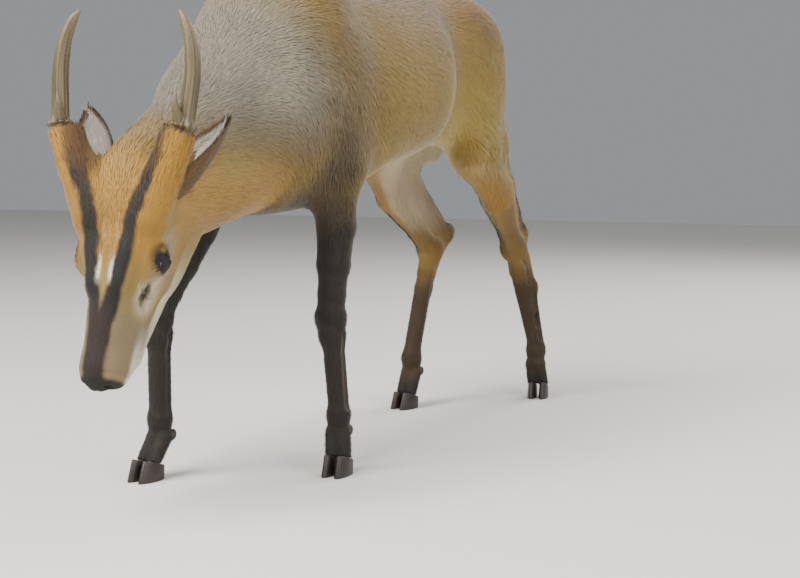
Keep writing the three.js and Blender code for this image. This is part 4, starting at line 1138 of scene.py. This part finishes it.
def ear_surface(side):
    """The cup of an ear in the head's frame: its outer and inner sheet, its axis and its opening."""
    root = EAR_ROOT * (side, 1, 1)
    axis = np.array(EAR_TIPS[side], float) - root
    length = np.linalg.norm(axis)
    axis /= length
    opening = np.array(EAR_OPENINGS[side], float) * (side, 1, 1)
    opening = unit(opening - axis * (opening @ axis))
    across = unit(np.cross(axis, opening))
    t = np.linspace(EAR_START, 1, EAR_RINGS + 1)[:, None]
    s = np.linspace(-1, 1, EAR_SLICES + 1)[None]
    bulge = np.maximum(np.sin(math.pi * np.minimum(1, 0.16 + 0.9 * t) ** 1.05), 0)
    half = EAR_WIDTH / 2 * bulge ** 0.8 * (1 - 0.1 * t) + (1 - np.clip(t, 0, 1)) * EAR_ROOT_RADIUS * 0.55
    curl = EAR_CURL[0] + (EAR_CURL[1] - EAR_CURL[0]) * t
    radius = half / np.sin(np.minimum(curl, math.pi / 2))
    turn, bow = curl * s, EAR_BOW * np.sin(math.pi * t)
    sheets = []
    for wall in (0.5, 2.9 - 1.6 * np.abs(s) ** 3):
        r = np.maximum(radius - wall, 0.9)
        sheets.append(root + (t * length)[..., None] * axis + (r * np.sin(turn))[..., None] * across
                      + (radius * 0.35 - r * np.cos(turn) + bow)[..., None] * opening)
    return sheets, axis, opening


def grid_faces(rows, cols, start, flip):
    faces = []
    for i in range(rows):
        for a in range(start + i * (cols + 1), start + i * (cols + 1) + cols):
            quad = (a, a + 1, a + cols + 2, a + cols + 1)
            faces.append(quad[::-1] if flip else quad)
    return faces


def cup_faces(rows, cols, flip):
    """Faces of two sheets of one grid, joined all round their rim."""
    n = (rows + 1) * (cols + 1)
    faces = grid_faces(rows, cols, 0, flip) + grid_faces(rows, cols, n, not flip)
    left = [i * (cols + 1) for i in range(rows + 1)]
    end = [rows * (cols + 1) + j for j in range(1, cols + 1)]
    right = [i * (cols + 1) + cols for i in range(rows - 1, -1, -1)]
    rim = left + end + right + list(range(cols - 1, 0, -1))
    for a, b in zip(rim, rim[1:] + rim[:1]):
        quad = (a, b, b + n, a + n)
        faces.append(quad if flip else quad[::-1])
    return faces


# Hair of an ear's back and of its inside: how many tufts, their length, width and lift in degrees
EAR_HAIR = {"back": (5200, 5.0, 0.75, 8), "within": (2600, 9.0, 0.5, 16)}


class MUNTJAC_OT_ears(bpy.types.Operator):
    """Shape the cupped ears, with short hair outside and long pale hair within"""
    bl_idname = "muntjac.ears"
    bl_label = "Ears"

    def execute(self, context):
        rng = np.random.default_rng(SEED + 1)
        mat = material("ear_skin", 0.75, bump=(700, 0.0004, (1, 1, 1)))
        fur = bpy.data.materials.get("coat") or material("coat", 0.78)
        for label, side in SIDES:
            (outer, inner), axis, opening = ear_surface(side)
            facing = np.cross(outer[5, 15] - outer[5, 14], outer[6, 14] - outer[5, 14])
            faces = cup_faces(EAR_RINGS, EAR_SLICES, facing @ -opening < 0)
            verts = np.concatenate((outer.reshape(-1, 3), inner.reshape(-1, 3)))
            ear = new_object(f"ear_{label}", to_row(from_head(verts)), faces, mat)
            edge = (np.abs(np.linspace(-1, 1, EAR_SLICES + 1))[None]
                    + np.linspace(0, 1, EAR_RINGS + 1)[:, None] ** 6)
            dark = step(edge.ravel(), 0.86, 1.0)[:, None]
            back = TONES["earback"] * (1 - 0.3 * dark)
            within = TONES["earin"] * (1 - dark) + TONES["earback"] * 0.6 * dark
            set_colour(ear.data, np.concatenate((back, within)))
            claim(ear, "coat_neck", f"ear_{label}")
            made = [self.hair(rng, outer, axis, back, "back"), self.hair(rng, inner, axis, within, "within")]
            shift = len(made[0][0])
            parts = [np.concatenate((a, b + shift if k == 3 else b)) for k, (a, b) in enumerate(zip(*made))]
            claim(tuft_object(f"ear_hair_{label}", parts, fur), "coat_neck")
        return {"FINISHED"}

    def hair(self, rng, sheet, axis, tone, place):
        """Tufts on one sheet of an ear. Within, most of them grow near the edges, towards the middle."""
        count, size, wide, raised = EAR_HAIR[place]
        within = place == "within"
        rows, cols = EAR_RINGS, EAR_SLICES
        u = rng.random(count) * (rows - 5) + 1
        v = rng.random(count) * (cols - 0.01)
        if within:
            at_edge = np.where(v < cols / 2, v * 0.35, cols - (cols - v) * 0.35)
            v = np.where(rng.random(count) < 0.6, at_edge, v)
        i, j = u.astype(int), v.astype(int)
        fu, fv = (u - i)[:, None], (v - j)[:, None]
        a, b, c, d = (sheet[np.minimum(i + k, rows), np.minimum(j + m, cols)]
                      for k, m in ((0, 0), (1, 0), (0, 1), (1, 1)))
        p = a * (1 - fu) * (1 - fv) + b * fu * (1 - fv) + c * (1 - fu) * fv + d * fu * fv
        n = unit(np.cross(c - a, b - a))
        centre = sheet[i].mean(1)
        n = n * np.sign(((p - centre) * n).sum(1))[:, None] * (-1 if within else 1)
        way = np.repeat(axis[None], count, 0) + 0.18 * rng.standard_normal((count, 3))
        if within:
            way = way + unit(centre - p) * 0.5
        way = unit(way - n * (way * n).sum(1)[:, None])
        colour = np.clip(tone[i * (cols + 1) + j] * (0.8 + 0.45 * rng.random(count))[:, None], 0, 1)
        length = size * (0.7 + 0.6 * rng.random(count))
        lift = np.radians(raised * (0.6 + 0.8 * rng.random(count)))
        uv = np.stack((0.02 + 0.45 * u / rows + 0.5 * within, 0.02 + 0.96 * v / cols), 1)
        return tufts(from_head(p), n @ HEAD.T, way @ HEAD.T, length, np.full(count, wide), lift, colour, uv)


# Tones of the eye's rim, iris and pupil
EYE_RIM, IRIS, PUPIL = np.array(((0.05, 0.035, 0.03), (0.028, 0.013, 0.006), (0.003, 0.003, 0.004)))
CORNEA_BULGE = 0.05  # share of the radius


class MUNTJAC_OT_eyes(bpy.types.Operator):
    """Set the dark wet eyes"""
    bl_idname = "muntjac.eyes"
    bl_label = "Eyes"

    def execute(self, context):
        mat = material("eye", 0.04, coat=1.0)
        for label, side in SIDES:
            only()
            radius = (EYE_RADIUS - 0.05) / 1000
            bpy.ops.mesh.primitive_uv_sphere_add(segments=64, ring_count=40, radius=radius)
            eye = context.view_layer.objects.active
            eye.name = eye.data.name = f"eye_{label}_ball"
            co = coords(eye.data)
            facing = unit(co) @ ((lid_frame()[0] * (side, 1, 1)) @ HEAD.T)
            co = co * (1 + CORNEA_BULGE * step(facing, 0.80, 0.97))[:, None]
            set_coords(eye.data, co + to_row(from_head(EYE_CENTRE * (side, 1, 1))))
            tone = np.where((facing > 0.90)[:, None], PUPIL, IRIS)
            set_colour(eye.data, np.where((facing < 0.62)[:, None], EYE_RIM, tone))
            bpy.ops.object.shade_smooth()
            eye.data.materials.append(mat)
            claim(eye, "eye", f"eye_{label}")
        return {"FINISHED"}


# Up, outwards and forwards from the top of the pedicle
ANTLER_PATH = ((-6, 4, 1), (5, 3.5, 0), (26, -2, -2), (53, -10, -4), (77, -22, -5), (93, -36, -6),
               (100, -46, -7))
TINE_PATH = ((3, 1, 2), (12, -3, 7), (21, -7, 12), (31, -10, 13))


# Radii at shares of the beam's length
BEAM_RADII = (0, 0.10, 0.3, 0.6, 0.85, 0.97, 1), (8.6, 8.4, 7.9, 6.9, 4.4, 1.9, 0.7)
BURR_AT, BURR_WIDTH = 0.17, 0.03
BEAM_RINGS, BEAM_SIDES, TINE_RINGS, TINE_SIDES = 110, 72, 40, 36
TINE_RADIUS, TINE_TIP = 5.2, 0.8


def antler_places(side):
    """A function that sets a path on top of a pedicle, in the head's frame."""
    up = unit(PEDICLE_AXIS * (side, 1, 1))
    out = unit(np.array((side, 0, 0)) - up * (side * up[0]))
    front = np.cross(up, out) * side
    front = front if front[2] > 0 else -front
    return lambda path: PEDICLE_TOP * (side, 1, 1) + np.asarray(path, float) @ np.stack((up, out, front))


class MUNTJAC_OT_antlers(bpy.types.Operator):
    """Shape the ridged beams, their burrs and the short brow tines"""
    bl_idname = "muntjac.antlers"
    bl_label = "Antlers"

    def execute(self, context):
        mat = material("antler", 0.48, bump=(420, 0.0005, (1, 1, 0.25)))
        for label, side in SIDES:
            at = antler_places(side)
            phase = np.random.default_rng(SEED + int(side)).random(6) * 6.28
            self.horn(f"antler_{label}", "beam", mat, curve_points(at(ANTLER_PATH), BEAM_RINGS),
                      BEAM_SIDES, self.beam(phase))
            self.horn(f"antler_{label}", "brow", mat, curve_points(at(TINE_PATH), TINE_RINGS),
                      TINE_SIDES, self.tine(phase), f"tine_{label}")
        return {"FINISHED"}

    def beam(self, phase):
        """Radii, tone and section of a beam, with its grooves, lumps and burr."""
        ridge = settings().antler.ridge
        t = np.linspace(0, 1, BEAM_RINGS)
        burr = np.exp(-((t - BURR_AT) / BURR_WIDTH) ** 2)

        def section(i, turns):
            grooves = ridge * (1 - 0.8 * t[i]) * (np.sin(9 * turns + 1.3 * t[i] + phase[0]) * 0.55
                                                 + np.sin(15 * turns - 2 * t[i] + phase[1]) * 0.3)
            knobs = burr[i] * (0.40 + 0.16 * np.sin(11 * turns + phase[2])
                               + 0.08 * np.sin(23 * turns + phase[3]))
            lumps = 0.04 * np.sin(3 * turns + 9 * t[i] + phase[4])
            return 1 + grooves * (1 - burr[i]) + knobs + lumps

        return np.interp(t, *BEAM_RADII), t, section

    def tine(self, phase):
        """Radii, tone and section of a brow tine."""
        ridge = settings().antler.ridge
        t = np.linspace(0, 1, TINE_RINGS)
        section = lambda i, turns: 1 + ridge * 0.6 * (1 - t[i]) * np.sin(7 * turns + phase[5])
        return TINE_RADIUS * (1 - t**1.4) + TINE_TIP, 0.35 + 0.6 * t, section

    def horn(self, name, part, mat, path, sides, shape, node=None):
        radii, pale, section = shape
        verts, faces = tube_mesh(path, radii, sides, section)
        obj = new_object(f"{name}_{part}", to_row(from_head(verts)), faces, mat)
        self.colour(obj, np.repeat(pale, sides), verts, path)
        claim(obj, "antler", node or name)

    def colour(self, obj, t, verts, path):
        """Dark in the grooves and at the root, light on the ridges and at the tip."""
        dark, light = srgb(38, 31, 19), srgb(118, 103, 68)
        t = np.concatenate((t, [0, 1]))
        reach = np.linalg.norm(verts[:-2].reshape(len(path), -1, 3) - path[:, None], axis=2)
        high = (reach / reach.mean(1, keepdims=True) - 0.93) / 0.14
        high = np.concatenate((np.clip(high, 0, 1).ravel(), [0.5, 1]))
        share = np.clip(0.15 + 0.45 * high + 0.5 * np.clip(t - 0.4, 0, 1), 0, 1)[:, None]
        set_colour(obj.data, dark * (1 - share) + light * share)


HOOF_EDGE, HOOF_EDGE_STEPS = 0.0011, 3  # of the bevel, in metres


class MUNTJAC_OT_hooves(bpy.types.Operator):
    """Round off the cloven hooves and the dewclaws"""
    bl_idname = "muntjac.hooves"
    bl_label = "Hooves"

    def execute(self, context):
        mat = material("hoof", 0.42, colour=tuple(srgb(38, 30, 25)), bump=(160, 0.0008, (1, 1, 5)))
        for name in [n for n in NODES if n.startswith(("hoof_", "dewclaw_"))]:
            obj = linked(name + "_horn", NODES[name].data.copy())
            obj.data.materials.clear()
            obj.data.materials.append(mat)
            edit_all(obj, (bpy.ops.mesh.remove_doubles, dict(threshold=0.00002)),
                     (bpy.ops.mesh.dissolve_limited, dict(angle_limit=math.radians(4))))
            if name.startswith("hoof_"):
                bevel = obj.modifiers.new("edge", "BEVEL")
                bevel.width, bevel.segments = HOOF_EDGE, HOOF_EDGE_STEPS
                bevel.limit_method, bevel.angle_limit = "ANGLE", math.radians(28)
                bpy.ops.object.modifier_apply(modifier="edge")
            obj.data.polygons.foreach_set("use_smooth", np.ones(len(obj.data.polygons), bool))
            claim(obj, "hoof", name)
        return {"FINISHED"}


CAMERA_AT, CAMERA_WAY = (815.0, -1322.0, 340.0), (-0.453, 0.887, -0.091)


# Name, place, target, which power, size and colour of each light
LIGHTS = (
    ("key", (-0.6, -1.9, 2.2), (0, 0, 0.3), "key", 2.0, (1, 0.97, 0.92)),
    ("fill", (2.4, -0.9, 1.3), (0, 0, 0.3), "fill", 2.0, (1, 1, 1)),
    ("rim", (0.8, 2.4, 2.0), (0, 0.1, 0.35), "fill", 1.8, (1, 1, 1)))
FLOOR_REACH = 6.0
FLOOR_TONE, SKY_TONE, SKY_STRENGTH = (0.72, 0.70, 0.66), (0.86, 0.89, 0.92, 1), 0.36


def looking(way):
    return Vector(way).to_track_quat("-Z", "Y").to_euler()


class MUNTJAC_OT_stage(bpy.types.Operator):
    """Lay the pale floor, light it softly and place the camera"""
    bl_idname = "muntjac.stage"
    bl_label = "Stage"

    def execute(self, context):
        s = settings().light
        mesh = bpy.data.meshes.new("floor")
        r = FLOOR_REACH
        mesh.from_pydata([(-r, -r, 0), (r, -r, 0), (r, r, 0), (-r, r, 0)], [], [(0, 1, 2, 3)])
        mesh.materials.append(material("floor", 0.9, colour=FLOOR_TONE))
        linked("floor", mesh)
        world = bpy.data.worlds.new("studio")
        world.use_nodes = True
        world.node_tree.nodes["Background"].inputs["Color"].default_value = SKY_TONE
        world.node_tree.nodes["Background"].inputs["Strength"].default_value = SKY_STRENGTH
        context.scene.world = world
        for name, place, target, power, size, colour in LIGHTS:
            data = bpy.data.lights.new(name, "AREA")
            data.energy, data.size, data.color = getattr(s, power), size, colour
            light = linked(name, data)
            light.location = place
            light.rotation_euler = looking(Vector(target) - Vector(place))
        data = bpy.data.cameras.new("camera")
        data.lens, data.sensor_width = s.lens, 36
        camera = linked("camera", data)
        camera.location = to_row(CAMERA_AT)
        camera.rotation_euler = looking(CAMERA_WAY)
        context.scene.camera = camera
        return {"FINISHED"}


class MUNTJAC_PT_panel(bpy.types.Panel):
    """The pieces of the stag and their settings"""
    bl_idname = "MUNTJAC_PT_panel"
    bl_label = "Muntjac Stag"
    bl_space_type = "VIEW_3D"
    bl_region_type = "UI"
    bl_category = "Muntjac"

    def draw(self, context):
        s = settings()
        for group in (s.skin, s.coat, s.antler, s.light):
            box = self.layout.box()
            for name in group.__annotations__:
                box.prop(group, name)
        for operator in OPERATORS:
            self.layout.operator(operator.bl_idname)


OPERATORS = (MUNTJAC_OT_skin, MUNTJAC_OT_coat, MUNTJAC_OT_ears, MUNTJAC_OT_eyes, MUNTJAC_OT_antlers,
             MUNTJAC_OT_hooves, MUNTJAC_OT_stage)
CLASSES = (SkinSettings, CoatSettings, AntlerSettings, LightSettings, MuntjacSettings, *OPERATORS,
           MUNTJAC_PT_panel)


def register():
    for cls in CLASSES:
        bpy.utils.register_class(cls)
    bpy.types.Scene.muntjac = PointerProperty(type=MuntjacSettings, name="Muntjac",
                                              description="The stag's settings")


def unregister():
    del bpy.types.Scene.muntjac
    for cls in reversed(CLASSES):
        bpy.utils.unregister_class(cls)


def main():
    register()
    bpy.ops.muntjac.skin()
    bpy.ops.muntjac.coat()
    bpy.ops.muntjac.ears()
    bpy.ops.muntjac.eyes()
    bpy.ops.muntjac.antlers()
    bpy.ops.muntjac.hooves()
    bpy.ops.muntjac.stage()


if __name__ == "__main__":
    main()
